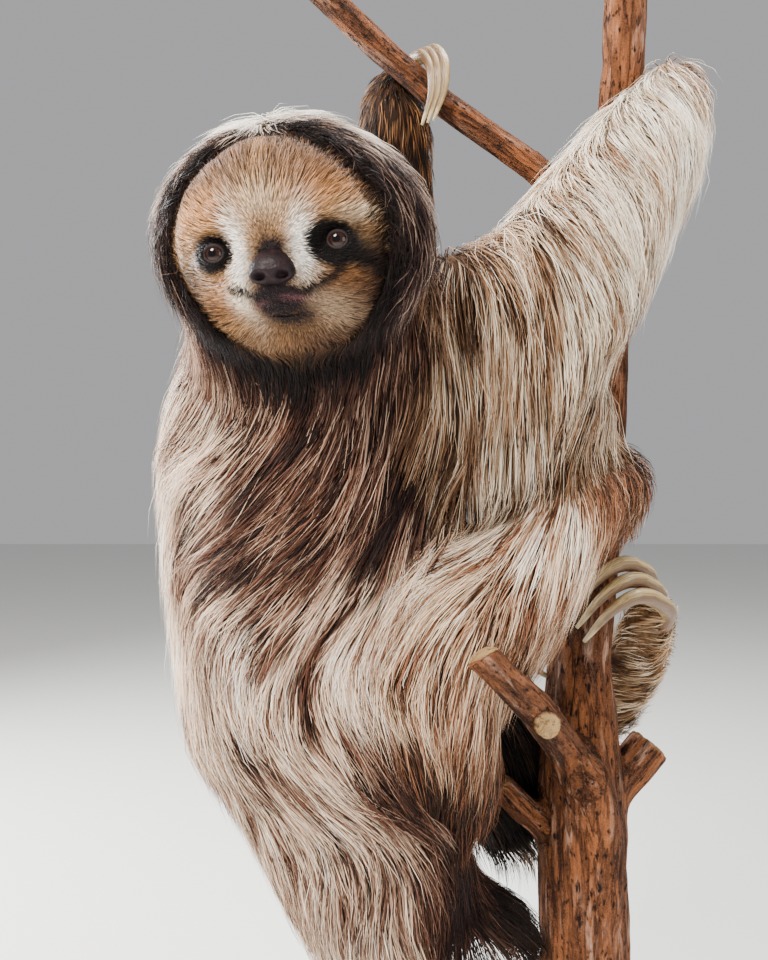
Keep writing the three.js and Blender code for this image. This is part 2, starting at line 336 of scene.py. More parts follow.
# %% The first skin, as far out as the coat
SWELL = 0.0009  # metres, so that the gaps between the solids close
COARSE, FINE = 0.004, 0.003  # metres, the grids that the two skins are remeshed on
skin = copy_of(FLESH, "skin", SWELL)
modify(skin, "REMESH", mode="VOXEL", voxel_size=COARSE)
modify(skin, "SMOOTH", iterations=14, factor=0.6)
depth = owner_weights(skin, 4) @ (np.array(COAT_DEPTH) / 1000)
print("first skin", len(skin.data.vertices), "vertices")

# %% [markdown]
# The head has a frame of its own: `across` to its left, `ahead` out of the face, and `above`. The face is
# short-haired, so the skin sinks less there.

# %% The head's own frame
HEAD = np.array([-0.0425, -0.150, 0.573])
YAW, ROLL = math.radians(-6.5), math.radians(-5)
TURN = np.array([[math.cos(YAW), -math.sin(YAW), 0], [math.sin(YAW), math.cos(YAW), 0], [0, 0, 1]])
TURN = TURN @ np.array([[math.cos(ROLL), 0, math.sin(ROLL)], [0, 1, 0], [-math.sin(ROLL), 0, math.cos(ROLL)]])


def to_head(where):
    """Millimetres across, ahead and above in the head's frame."""
    local = (where - HEAD) @ TURN * 1000
    return local[:, 0], -local[:, 1], local[:, 2]


def from_head(across, ahead, above):
    local = np.stack(np.broadcast_arrays(across, -np.asarray(ahead, float), above), -1) / 1000
    return local @ TURN.T + HEAD


DISC_AT = (-3, -9)  # the middle of the face's disc, across and above
FACE_EDGE = [  # degrees round the middle of the face, and millimetres from there out to the hood
    (-180, 50), (-155, 47.5), (-129, 46), (-84, 44), (-41, 47.5), (0, 50), (41, 47), (62, 46), (84, 48),
    (100, 48), (120, 46), (146, 48.5), (180, 50),
]


def disc_of(across, above):
    """0 in the middle of the face, 1 where the hood begins."""
    right, up = across - DISC_AT[0], above - DISC_AT[1]
    return np.hypot(right, up) / np.interp(np.degrees(np.arctan2(up, right)), *zip(*FACE_EDGE))


def face_share(where):
    """1 on the short-haired face, 0 on the hood of long hair round it."""
    across, ahead, above = to_head(where)
    return bump(ahead, -12, 4) * (1 - bump(disc_of(across, above), 0.93, 1.03))


def rim_share(where):
    """1 on the thick dark rim of the hood, which stands round the face like a collar."""
    across, ahead, above = to_head(where)
    disc = disc_of(across, above)
    return bump(disc, 0.98, 1.10) * (1 - bump(disc, 1.22, 1.5)) * bump(ahead, -30, -8)


print("the middle of the head is at", HEAD)

# %% The second skin, under the coat
where = points(skin)
is_head = owner_weights(skin, 4)[:, 0] > 0.5
depth = depth * (1 - 0.75 * face_share(where) * is_head)
place(skin, where - normals(skin) * depth[:, None])
modify(skin, "REMESH", mode="VOXEL", voxel_size=FINE)
modify(skin, "SMOOTH", iterations=8, factor=0.5)
print("second skin", len(skin.data.vertices), "vertices")

# %% [markdown]
# ## The face
#
# The face needs finer faces than the body, so its part of the skin is subdivided. Then its vertices are
# pushed in and out along the `ahead` direction by smooth mounds and hollows: brow, cheeks, the sides of the
# short muzzle, the sockets, the line of the mouth and the lower lip. Sizes here are millimetres in the
# head's frame.

# %% Lines and mounds
EYE_RADIUS = 6.2
EYES = {"right": (-27.6, 43.4, -12.0), "left": (27.2, 43.4, -11.8)}
MOUTH = [(-21, -27), (-16, -29.6), (-8, -33.6), (0, -35.2), (7, -34.2), (14, -31), (20, -27), (25, -22.5)]


def curve_through(stops, count):
    """A smooth Catmull-Rom line through the stops, as an array of points."""
    stops = np.asarray(stops, float)
    padded = np.vstack([2 * stops[0] - stops[1], stops, 2 * stops[-1] - stops[-2]])
    t = np.linspace(0, len(stops) - 1, count)
    i = np.minimum(t.astype(int), len(stops) - 2)
    u = (t - i)[:, None]
    a, b, c, d = (padded[i + k] for k in range(4))
    return 0.5 * (2 * b + (c - a) * u + (2 * a - 5 * b + 4 * c - d) * u**2 + (3 * b - a - 3 * c + d) * u**3)


def from_mouth(across, above, count):
    """Millimetres from the line of the mouth, which is drawn with this many points."""
    line = curve_through(MOUTH, count)
    return np.sqrt(((across[:, None] - line[:, 0]) ** 2 + (above[:, None] - line[:, 1]) ** 2).min(1))


def from_eyes(across, above):
    """Millimetres from the middle of the nearer eye."""
    return np.minimum(*(np.hypot(across - x, above - z) for x, _, z in EYES.values()))


def mound(across, above, at, wide, tall=None):
    return np.exp(-(((across - at[0]) / wide) ** 2) - ((above - at[1]) / (tall or wide)) ** 2)


print("eyes at", EYES)


# %% Finer faces for the face
def subdivide(obj, chosen):
    edit(obj, "FACE", chosen)
    bpy.ops.mesh.subdivide(number_cuts=1, smoothness=0.6)
    leave_edit()


IN_FRONT = -0.12  # metres, in front of which only the head's faces lie
centre = read(skin.data.polygons, "center").astype(float)
across, ahead, above = to_head(centre)
subdivide(skin, (disc_of(across, above) < 1.3) & (ahead > -5) & (centre[:, 1] < IN_FRONT))
centre = read(skin.data.polygons, "center").astype(float)
across, ahead, above = to_head(centre)
by_mouth = (np.abs(across) < 28) & (np.abs(above + 26) < 20)
subdivide(skin, ((from_eyes(across, above) < 11) | by_mouth) & (ahead > 20) & (centre[:, 1] < IN_FRONT))
print("skin with a finer face", len(skin.data.vertices), "vertices")


# %% Smoothing chosen places
def smooth_where(obj, name, amount, iterations):
    """Smooths only where the amount, from 0 to 1, is above nothing."""
    group = obj.vertex_groups.new(name=name)
    for i in np.flatnonzero(amount > 0).tolist():
        group.add([i], float(amount[i]), "REPLACE")
    modify(obj, "SMOOTH", iterations=iterations, factor=0.6, vertex_group=name)


across, ahead, above = to_head(points(skin))
chin = mound(across, above, (0, -42), 13, 7) * bump(ahead, 15, 25)
smooth_where(skin, "under the lip", chin * (chin > 0.02), 60)
print("chin smoothed over", int((chin > 0.02).sum()), "vertices")

# %% Brow, cheeks, muzzle, mouth and sockets
LID_OPENING, LID_EDGE, LID_BALL = 4.1, 6.0, 6.95  # radii of the hole, the lids' outer edge and their ball
where = points(skin)
across, ahead, above = to_head(where)
push = np.zeros(len(where))
for side in (-1, 1):
    push += 1.8 * mound(across, above, (side * 25, 2), 11, 6)  # brow
    push += 2.4 * mound(across, above, (side * 29, -31), 13, 10)  # cheek
    push -= 2.0 * mound(across, above, (side * 17.5, -13), 4.5, 9)  # side of the muzzle
    push += 1.6 * mound(across, above, (side * 9, -31), 6.5, 4)  # upper lip
push += 2.6 * mound(across, above, (0, -24), 15, 13)  # the short muzzle
push += 0.9 * mound(across, above, (0, -38), 14, 9)  # lower lip and chin
push -= 1.7 * np.exp(-((from_mouth(across, above, 60) / 1.1) ** 2))  # line of the mouth
for x, y, z in EYES.values():
    away = np.hypot(across - x, (above - z) * 1.14)  # the lids' opening is wider than it is tall
    lid = y + np.sqrt(LID_BALL**2 - np.minimum(away, LID_EDGE) ** 2) - 0.30 * np.maximum(away - LID_EDGE, 0)
    target = np.where(away < LID_OPENING, y + 1.0, lid)
    settle = 1 - bump(away, 6.2, 12.5)
    push = push * (1 - settle) + (target - ahead) * settle
rim = rim_share(where) * (owner_weights(skin, 3)[:, :2] @ np.array([1.0, 0.6]))  # the head's and neck's share
push += (4.5 + 3.5 * bump(-across, 10, 40)) * rim  # the rim of the hood
share = np.maximum(bump(ahead, 12, 26), rim > 0.02) * (where[:, 1] < -0.11)
outwards = 1 + (0.05 - 0.02 * bump(above, 15, 45)) * rim * share
across = DISC_AT[0] + (across - DISC_AT[0]) * outwards
above = DISC_AT[1] + (above - DISC_AT[1]) * outwards
place(skin, from_head(across, ahead + push * share, above))
modify(skin, "SMOOTH", iterations=1, factor=0.4)
print("the face was pushed by", round(push.min(), 1), "to", round(push.max(), 1), "mm")

# %% [markdown]
# ### Eyes, lids, nose and lips
#
# Each eye is a whole ball with a smaller, steeper dome at its front, as a real cornea is. The lids are two
# soft rolls of skin that lie on the ball. Rolls and claws are drawn as Bezier curves with a radius at each
# point, and then turned into meshes.


# %% Rolls and balls
def roll(name, stops, radii, sides=3, steps=6):
    """A round tapering tube through the stops, closed at both ends."""
    bpy.ops.curve.primitive_bezier_curve_add(enter_editmode=False)
    made = bpy.context.object
    made.name = name
    data = made.data
    data.dimensions, data.fill_mode, data.use_fill_caps = "3D", "FULL", True
    data.bevel_depth, data.bevel_resolution, data.resolution_u = 1.0, sides, steps
    spline = data.splines[0]
    spline.bezier_points.add(len(stops) - 2)
    for point, stop, radius in zip(spline.bezier_points, stops, radii):
        point.co, point.radius = stop, radius
        point.handle_left_type = point.handle_right_type = "AUTO"
    select(made)
    made.matrix_world.identity()
    bpy.ops.object.convert(target="MESH")
    made = bpy.context.object
    made.data.name = name
    edit(made)
    bpy.ops.mesh.remove_doubles(threshold=1e-6)
    bpy.ops.mesh.normals_make_consistent(inside=False)
    leave_edit()
    return made


def ball(name, segments, rings):
    bpy.ops.mesh.primitive_uv_sphere_add(segments=segments, ring_count=rings, radius=1)
    made = bpy.context.object
    made.name = made.data.name = name
    return made


print("an eyeball is", 2 * EYE_RADIUS, "mm across")

# %% Eyes
eye_mat, start = material("eye", roughness=0.05, ior=1.38)
gaze = start.attribute("gaze")  # how far off the middle of the pupil, then across and up
radius = gaze.part(0)
fibres = start.texture(60.0, gaze)
iris = start.tint(50, 27, 20).mix(linear(24, 13, 11), (fibres * 1.6 - 0.3).clamp())
iris = iris.mix(linear(8, 6, 6), radius.ramp(0.34, 0.26))  # the pupil
dress(eye_mat, iris.mix(linear(16, 9, 9), radius.ramp(0.52, 0.66)))  # and the dark ring round the iris

for name, (x, y, z) in EYES.items():
    eye = ball(f"eye_{name}_ball", 40, 28)
    p = points(eye)
    front = -p[:, 1]
    p *= (1 + 0.05 * bump(front, 0.72, 0.93))[:, None]
    off_axis = np.hypot(p[:, 0] + 0.06, p[:, 2] - 0.02)
    gaze = np.stack([np.where(front > 0, off_axis, 2.0), p[:, 0], p[:, 2]], 1)
    place(eye, from_head(x + p[:, 0] * EYE_RADIUS, y - p[:, 1] * EYE_RADIUS, z + p[:, 2] * EYE_RADIUS))
    store(eye.data, "gaze", gaze)
    finish(eye, eye_mat)
    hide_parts(f"eye_{name}")
print("eyes", len(EYES))

# %% Hide and eyelids
hide_mat, start = material("hide", roughness=0.5, specular_ior_level=0.16)
grain = start.texture(900.0, kind="Voronoi")
hide = start.tint(16, 10, 12).mix(linear(44, 28, 32), (start.texture(300.0) * 1.4 - 0.35).clamp())
dress(hide_mat, hide, grain, 0.0004, 0.3)
lid_mat, start = material("eyelid", roughness=0.65, specular_ior_level=0.25, base_color=linear(30, 19, 20))


def on_ball(eye, angle, wide, tall, lift):
    """A point on the eyeball at this angle round an almond opening, lifted off the ball a little."""
    x, y, z = EYES[eye]
    dx, dz = wide * math.cos(angle), tall * math.sin(angle)
    reach = EYE_RADIUS + lift
    return from_head(x + dx, y + math.sqrt(reach**2 - dx * dx - dz * dz), z + dz)


lids = []
for eye in EYES:
    for label, sweep, tall in (("upper", 1, 3.5), ("lower", -1, 3.7)):
        turn = [math.pi * i / 8 for i in range(9)]
        stops = [on_ball(eye, sweep * a, 4.3, tall, 0.3) for a in turn]
        radii = [(0.5 + (0.35 if sweep > 0 else 0.1) * math.sin(a)) / 1000 for a in turn]
        lids.append(roll(f"{label} lid", stops, radii))
select(*lids)
bpy.ops.object.join()
lids = bpy.context.object
lids.name = lids.data.name = "eyelids"
finish(lids, lid_mat)
print("lids", len(lids.data.polygons), "faces")

# %% [markdown]
# The nose is a leathery pad, broad and a little square, with two round nostrils that open forwards and
# outwards. It is a ball whose sides are squared and whose front is pressed in at the nostrils, down the
# middle and towards the bridge.

# %% Nose
NOSE_AT, NOSE_AHEAD = (-0.9, -23.4), 56.2  # millimetres, in the head's frame
nose = ball("nose_pad", 56, 40)
p = points(nose)
x, y, z = p[:, 0], -p[:, 1], p[:, 2]
x = np.sign(x) * np.abs(x) ** 0.86 * (1 - 0.24 * bump(z, -0.5, 1.0))
z = np.where(z > 0, z * 1.18, z * 0.92)
pit = np.zeros(len(p))
for side in (-1, 1):
    from_pit = np.hypot((x - side * 0.44) / 0.25, (z + 0.42) / 0.20)
    pit += np.exp(-(from_pit**2.6)) * (y > 0)
    y += 0.12 * np.exp(-((from_pit - 1.5) ** 2) * 3) * (y > 0)
y -= 0.16 * np.exp(-((x / 0.12) ** 2)) * bump(-z, -0.1, 0.5) * (y > 0)
y -= 0.22 * bump(z, 0.2, 1.1) * (y > 0)  # the pad slopes back towards the bridge
y -= 0.62 * pit
place(nose, from_head(NOSE_AT[0] + x * 10.8, NOSE_AHEAD + y * 6.2, NOSE_AT[1] + z * 7.8))
modify(nose, "SMOOTH", iterations=1, factor=0.4)
finish(nose, hide_mat)
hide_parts("nose")
print("nose", len(nose.data.polygons), "faces")

# %% The edge of the upper lip, a thin dark roll along the line of the mouth
skin_tree = tree_of(skin.data)


def on_face(a, h, lift):
    """The point of the skin straight behind (a, h), seen from in front of the face, lifted by millimetres."""
    inwards = Vector(TURN @ np.array([0.0, 1.0, 0.0]))
    hit = skin_tree.ray_cast(Vector(from_head(a, 90, h)), inwards)[0]
    return hit - inwards * (lift / 1000)


inner = curve_through(MOUTH, 9)[1:-1]
stops = [on_face(a, h + 0.2, -0.25) for a, h in inner]
radii = [0.5 * (0.35 + 0.65 * math.sin(math.pi * (i + 0.5) / len(inner))) / 1000 for i in range(len(inner))]
lips = roll("lips", stops, radii)
finish(lips, lid_mat)
print("lips", len(lips.data.polygons), "faces")

# %% [markdown]
# ### Claws
#
# Three long hooks on each limb. They are the sloth's grip: the limb hangs from them, and they never let the
# branch go. Horn grows in long fibres, so its streaks follow the hook, and its flanks get painted shade. Two
# attributes carry that: how far along the claw a point is and how far round to its flank, and the place of
# the grain.

# %% The lines of the claws, and their horn
CLAWS = {  # the middle claw's line from root to tip in millimetres, and how far its neighbours stand off
    "hand_right": (
        [(166, 33, 697), (153, 38, 696), (143, 36, 691), (139, 28, 683), (139, 19, 676)], (0, 0, 9),
    ),
    "hand_left": ([(17, 31, 729), (27, 16, 731), (33, 0, 717), (33, -3, 699), (27, 0, 681)], (4.4, -2, 1)),
    "foot_right": ([(94, 46, 374), (84, 40, 368), (82, 22, 360), (94, 6, 352), (106, -2, 344)], (3, 0, 9)),
    "foot_left": (
        [(166, -1, 380), (167, -10, 391), (148, -29, 401), (130, -33, 393), (115, -24, 372)], (5, -4, -10.5),
    ),
}
# How much the three draw together towards their tips.
CLOSING = {"hand_right": 0.2, "hand_left": 0.2, "foot_right": 0.2, "foot_left": 0.25}
CLAW_RADII = [4.3, 4.5, 4.2, 3.0, 1.0]
CLAW_GIRTH = {"hand_right": 0.94, "hand_left": 0.799, "foot_right": 0.94, "foot_left": 1.175}
CLAW_POINTS = 13
horn_mat, start = material("claw horn", roughness=0.36, coat_weight=0.3, coat_roughness=0.25)
along = start.attribute("along")
streak = start.texture(30.0, start.attribute("grain"), Detail=4.0)
horn = start.tint(214, 188, 130).mix(linear(124, 82, 44), (streak * 3.6 - 1.45).clamp())
# painted shade: the flanks, which turn away from the light, are darker
horn = horn.mix(linear(92, 58, 32), along.part(1).ramp(0.3, 0.95) * 0.9)  # darker flanks
horn = horn.mix(linear(112, 78, 50), along.part(0).ramp(0.25, 0.0))  # and root
horn = horn.mix(linear(228, 206, 158), along.part(0).ramp(0.8, 1.0))  # and a paler tip
dress(horn_mat, horn, streak, 0.0015, 0.6)
print("claw thickness in millimetres, root to tip", [2 * r for r in CLAW_RADII])

# %% Claws
for limb, (middle, spread) in CLAWS.items():
    for i, step in enumerate((-1, 0, 1)):
        ease = [step * (1 - CLOSING[limb] * k / 4) for k in range(5)]
        stops = [[c + e * s for c, s in zip(stop, spread)] for stop, e in zip(middle, ease)]
        fine = curve_through(stops, CLAW_POINTS) / 1000
        radii = curve_through([[r, 0, 0] for r in CLAW_RADII], CLAW_POINTS)[:, 0] / 1000 * CLAW_GIRTH[limb]
        claw = roll(f"{limb}_claw_{i + 1}", fine, radii, sides=5, steps=2)
        p = points(claw)
        stop = np.linalg.norm(p[:, None] - fine[None], axis=2).argmin(1)
        # How far round to its flanks each point is, measured from the plane that the hook lies in.
        way = unit(np.gradient(fine, axis=0))[stop]
        across_hook = unit(np.cross(fine[4] - fine[0], fine[12] - fine[4]))
        off = p - fine[stop]
        off = unit(off - way * (off * way).sum(1, keepdims=True))
        flank = off @ across_hook
        inner_side = (np.cross(way, across_hook) * off).sum(1)
        store(claw.data, "along", np.stack([stop / 12, np.abs(flank), 0 * flank], 1))
        store(claw.data, "grain", np.stack([stop / 40, flank * 0.25, inner_side * 0.25 + i], 1))
        finish(claw, horn_mat)
        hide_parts(f"claw_{limb}_{i + 1}")
print("claws", 3 * len(CLAWS))

# %% [markdown]
# ## Markings
#
# A sloth's coat is streaked: every lock has its own tone between a dark, a middle and a pale colour. Each
# part of the body has such a palette, and palettes blend where parts meet. Spots of painted light and shade
# lie over the palettes. The skin and the coat read the same functions, so their markings agree.

# %% Palettes
PALETTES = {  # dark, middle and pale colour, and how far the tone leans to pale
    "hood": [linear(14, 7, 8), linear(60, 37, 33), linear(196, 166, 146), -0.5],
    "neck": [linear(18, 9, 7), linear(90, 54, 41), linear(218, 178, 150), -0.1],
    "torso": [linear(30, 14, 11), linear(118, 76, 58), linear(255, 223, 193), 0.0],
    "arm": [linear(50, 28, 17), linear(164, 122, 88), linear(255, 237, 210), 0.10],
    # the far arm's palette is darker: browner hair, with painted shade where it lies behind the head
    "far_arm": [linear(22, 13, 8), linear(92, 58, 34), linear(182, 126, 72), -0.2],
    "thigh": [linear(36, 17, 10), linear(154, 100, 68), linear(255, 226, 192), 0.06],
    # the far leg's palette is near black: painted shade between the near thigh and the trunk
    "far_leg": [linear(12, 7, 5), linear(50, 33, 24), linear(136, 104, 80), -0.5],
    "foot": [linear(66, 40, 24), linear(180, 138, 98), linear(250, 230, 196), 0.12],
}
WHITE = linear(255, 250, 240)
DARK, MIDDLE, PALE, LEAN = (np.array([PALETTES[name][k] for name in PALETTE_OF]) for k in range(4))


def body_colour(where, weight, tone):
    """The coat's colour for tones from -1 (dark) to 1 (pale), and the node weights there."""
    dark, middle, pale = weight @ DARK, weight @ MIDDLE, weight @ PALE
    tone = tone + weight @ LEAN + tone_light_and_shade(where)
    t = np.clip(tone, -1, 1)[:, None]
    colour = np.where(t < 0, middle + (middle - dark) * t, middle + (pale - middle) * t)
    # tones past 1 turn white: the palest hairs, and painted glints on lit hair
    return colour + (WHITE - colour) * np.clip((tone - 1) / 0.9, 0, 1)[:, None]  # the palest hairs are white


print("palettes", ", ".join(PALETTES))


# %% Paler and darker areas
def spot(where, at, size):
    """A soft round spot: 1 at its centre (millimetres), fading over its size along X, Y and Z."""
    return np.exp(-(((where * 1000 - np.array(at)) / np.array(size)) ** 2).sum(1))


# The deep fold between the body and the near thigh, seen from in front.
FOLD = [(-46, 344), (-40, 357), (-28, 381), (-18, 402), (2, 420), (34, 439), (60, 452), (92, 476)]
FOLD = curve_through(FOLD, 60)


def from_fold(where):
    """Millimetres from the fold, seen from in front."""
    apart = where[:, None, ::2] * 1000 - FOLD
    return np.sqrt((apart**2).sum(2)).min(1)


# Spots of paler or darker coat: partly the hair's own tone, partly painted light and painted shade.
TONE_LIGHT_AND_SHADE_SPOTS = [  # how much paler or darker, and the middle and size of each spot in millimetres
    # painted light on the near arm, over its paler hair
    (1.2, (158, -40, 690), (42, 60, 60)),  # wrist
    (0.6, (136, -60, 630), (40, 60, 40)),  # forearm
    (0.35, (92, -80, 604), (26, 60, 26)),
    (0.35, (104, -90, 580), (26, 60, 60)),  # upper arm
    (0.5, (58, -80, 500), (30, 60, 30)),
    (-0.25, (34, -80, 545), (36, 90, 50)),  # shoulder
    (-0.4, (20, -80, 520), (16, 90, 80)),
    # painted shade in the crease above the fold, under the arm
    (-0.8, (2, -110, 464), (38, 60, 24)),  # above the fold
    (-1.5, (137, -40, 476), (24, 50, 30)),  # knee
    (0.9, (99, -90, 444), (26, 60, 20)),
    # painted highlight on the top and front of the near thigh
    (1.05, (20, -110, 416), (40, 60, 22)),  # along the top of the near thigh
    (0.95, (66, -110, 440), (44, 60, 14)),
    (1.1, (-10, -110, 388), (22, 60, 26)),  # its front
    (-0.5, (82, -110, 402), (34, 60, 20)),  # and its brown lower part
    (-0.6, (70, -50, 318), (30, 50, 24)),
    (-0.8, (36, -90, 306), (34, 60, 26)),
    (0.8, (-88, -90, 478), (30, 60, 30)),  # breast
    (0.8, (-88, -100, 510), (24, 60, 18)),
    (-0.8, (-50, -110, 442), (36, 90, 22)),
    (0.6, (-80, -90, 368), (40, 60, 40)),  # flank
    (0.8, (-48, -110, 376), (24, 60, 34)),
    (0.6, (-62, -80, 290), (36, 60, 26)),  # rump
    (0.9, (-26, -60, 214), (36, 80, 44)),
    (-1.6, (2, -80, 322), (30, 60, 22)),
    (-2.2, (46, -60, 240), (30, 60, 50)),  # beside the tail
    # painted shadow under the chin, on the throat
    (-0.6, (-40, -120, 500), (66, 60, 24)),  # throat
    (0.3, (-22, 30, 700), (16, 60, 60)),  # the far arm's lit side
]
PARTING = -4  # where the hair parts at the crown, in millimetres across the head


def hood_light_and_shade(where):
    """Paler and darker areas of the hood, from its parting down its two sides: paler hair, a painted
    highlight and sheen, and painted shade round the face.
    """
    across, ahead, above = to_head(where)
    disc = disc_of(across, above)
    # the crown: paler hair, with a painted highlight of the light from behind
    pale = 2.6 * bump(above, 42, 53) * (1 - bump(ahead, 2, 14)) * bump(ahead, -40, -14)  # crown
    # a painted sheen on the outer hair
    pale += 0.2 * bump(disc, 1.15, 1.3) * bump(above, -30, -10)  # the sheen of the outer hair
    pale += 1.5 * np.exp(-(((across - PARTING) / 5) ** 2)) * bump(above, 42, 48)  # frizz at the parting
    # a painted sheen along the top of the hood
    pale += 0.9 * bump(disc, 1.12, 1.24) * bump(above, 28, 46)
    # painted shade on the hood's inner rim, where its hair overhangs the face
    painted_rim_shade = (1 - bump(disc, 1.05, 1.22 - 0.08 * bump(above, 30, 45))) * bump(ahead, -45, -15)
    return (pale - painted_rim_shade) * (1 - bump(np.hypot(across, above), 70, 86))


def tone_light_and_shade(where):
    """Paler and darker areas of the whole coat: the hair's own tone, painted light on lit parts, and painted
    shade in the fold, under the chin and round the face.
    """
    x, y, z = where.T * 1000
    # painted rim light: the left edge of the back is paler, as if lit from behind
    painted_back_light = bump(-x, 94, 122) * bump(z, 330, 400) * (1 - bump(z, 560, 590))
    shift = 1.4 * painted_back_light
    for amount, at, size in TONE_LIGHT_AND_SHADE_SPOTS:
        shift += amount * spot(where, at, size)
    over = z - np.interp(x, FOLD[:, 0], FOLD[:, 1])  # the hair that hangs over the fold from above
    over = bump(over, 0, 5) * (1 - bump(over, 20, 40)) * bump(x, 10, 34) * (1 - bump(x, 104, 122))
    # painted shade in the fold and on the hair that hangs over it
    fold = 1.2 * np.exp(-((from_fold(where) / 4.2) ** 2)) + (0.7 + 0.6 * bump(x, 70, 90)) * over
    return shift - fold * (y < -40) + hood_light_and_shade(where)


print("shaded spots", len(TONE_LIGHT_AND_SHADE_SPOTS))

# %% The face's markings
FACE = {
    "tan": linear(178, 134, 90), "golden": linear(154, 100, 54), "cream": linear(236, 218, 190),
    "white": linear(250, 242, 232), "patch": linear(14, 8, 8), "brown": linear(52, 34, 25),
    # lip is a painted pink sheen on the lower lip; chin is brown, darkened by painted shade
    "forehead": linear(116, 84, 58), "lip_sheen": linear(128, 82, 86), "chin": linear(84, 58, 43),
    "muzzle": linear(25, 13, 17),
}
EYE_PATCHES = [  # side, the patch's middle and size, how far its stripe drops outwards, and how dark that is
    (-1, (27.6, -11.8), (9.4, 8.8), 10, 0.65),
    (1, (24.4, -12.8), (12.0, 10.4), 20, 1.1),
]


def face_colour(where, stray=0.0):
    """Pale brow, white beside the nose, dark lips with a painted sheen, and a dark patch with a stripe round
    each eye; a brown chin and the cheek on the head's left darkened by painted shade, and painted shadow
    round the face's edge.
    """
    across, ahead, above = to_head(where)
    disc = disc_of(across, above) + 0.07 * ripple(where, 300) + stray
    colour = np.tile(FACE["tan"], (len(where), 1))

    def lay(name, amount):
        nonlocal colour
        colour = colour + (FACE[name] - colour) * np.clip(amount, 0, 1)[:, None]

    def dab(name, *dabs):
        """Lays a colour on round dabs: how much, where, how wide and how tall."""
        lay(name, sum(amount * mound(across, above, at, wide, tall) for amount, at, wide, tall in dabs))

    lay("forehead", bump(above, 2, 14))
    lay("forehead", 1.2 * ripple(where, 130) * bump(above, -4, 8))
    dab("golden", (0.6, (-27, 4), 15, 7), (0.6, (20, 6), 17, 7))
    dab("golden", (0.9, (-28, -29), 11, 7), (0.9, (30, -27), 11, 6))
    lay("brown", 0.85 * bump(above + 0.10 * np.abs(across), 30, 47))
    dab("tan", (0.6, (-3, 26), 3.5, 22))
    # brown under the chin; painted shade on the chin and on the cheek at the head's left
    lay("brown", 0.55 * bump(-above, 37, 47))
    lay("chin", 0.85 * bump(-above, 36, 46) + 0.5 * mound(across, above, (38, -34), 16, 12))
    dab("tan", (0.5, (-14, -46), 12, 5))
    dab("cream", (0.5, (-3, 3), 9, 8), (0.55, (35, -2), 8, 3.2))
    dab("white", (1.5, (-15.5, -16), 4.4, 15), (1.5, (12, -14), 4.8, 13))
    dab("cream", (0.9, (-18, -31), 6, 5), (0.35, (20, -36), 10, 5))
    dab("forehead", (0.75, (-2.5, -6), 4.5, 8))
    # painted shade on the cheek at the head's left
    dab("chin", (0.55, (29, -33), 14, 9))
    dab("muzzle", (1.6, (-0.9, -27), 8.5, 4.5))
    dab("muzzle", (1.5, (-0.9, -15.5), 7.0, 6.0))
    for side, at, size, drop, depth in EYE_PATCHES:
        away = across * side
        lay("patch", 1 - bump(np.hypot((away - at[0]) / size[0], (above - at[1]) / size[1]), 0.80, 1.12))
        along = np.clip((away - 28) / 22, 0, 1)
        off = (above + 13 + drop * along) / (7.0 + 7.0 * along)
        lay("patch", depth * np.exp(-(off**2)) * bump(away, 26, 32))
    lay("muzzle", 1.1 * np.exp(-((from_mouth(across, above, 40) / 1.7) ** 2)))
    dab("muzzle", (1.8, (-0.5, -36.4), 11.0, 3.4), (1.5, (0, -32), 10, 2.6))
    dab("muzzle", (1.1, (-0.5, -38.0), 8.0, 2.4))
    # a painted pink sheen on the lower lip
    dab("lip_sheen", (0.8, (7, -34.8), 5, 1.0), (0.4, (-8, -35.6), 4, 0.9))
    low = bump(-above, 30, 46)
    # painted shadow round the face's edge, where the hood's rim overhangs it
    lay("brown", 0.7 * bump(disc, 0.74, 0.90) * (1 - low))
    lay("patch", 0.9 * bump(disc, 0.84 + 0.08 * low, 0.96 + 0.04 * low))
    return colour


print("colours of the face", ", ".join(FACE))

# %% [markdown]
# The skin's own colour is what shows between the locks, so on the body it is the dark end of the palette.
# The skin also needs a UV map, which lays the coat's locks out on the same sheet later.

# %% The skin's markings and sheet
weights = owner_weights(skin, 8)
where = points(skin)
on_face = (face_share(where) * bump(weights[:, 0], 0.4, 0.8))[:, None]
skin_colour = body_colour(where, weights, np.full(len(where), -0.55)) * 0.8
store_marking(skin.data, skin_colour + (face_colour(where) * 0.85 - skin_colour) * on_face)
edit(skin)
bpy.ops.uv.smart_project(angle_limit=math.radians(70), island_margin=0.002)
leave_edit()
skin.data.uv_layers.active.name = "OFBake"
print("skin", len(skin.data.polygons), "faces, UV map", skin.data.uv_layers.active.name)

# %% The skin's material
skin_mat, start = material("skin", roughness=0.75, specular_ior_level=0.15)
streaks = start.texture(420.0, Detail=3.0)
paint = start.attribute("marking", 0).mix((0.01, 0.008, 0.007), (streaks * 1.6 - 0.5).clamp(0, 0.55))
dress(skin_mat, paint, streaks, 0.001, 0.7)
finish(skin, skin_mat)
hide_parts(*FLESH)
print("the skin replaces", len(FLESH), "nodes")

# %% [markdown]
# ## The coat
#
# Every lock is a thin closed blade with three sides. It starts in the skin, follows the lie of the coat, is
# held near the body by its neighbours, and droops where nothing lies under it. Locks near each other run
# together at their tips, as a sloth's damp hair does.
#
# The lie of the coat comes from guides: (x, z, way along X, way along Z) on the side that faces -Y, in
# millimetres. The other sides have one plain way each. A real coat could also be made with Blender's hair
# curves, but a solid model needs closed meshes.

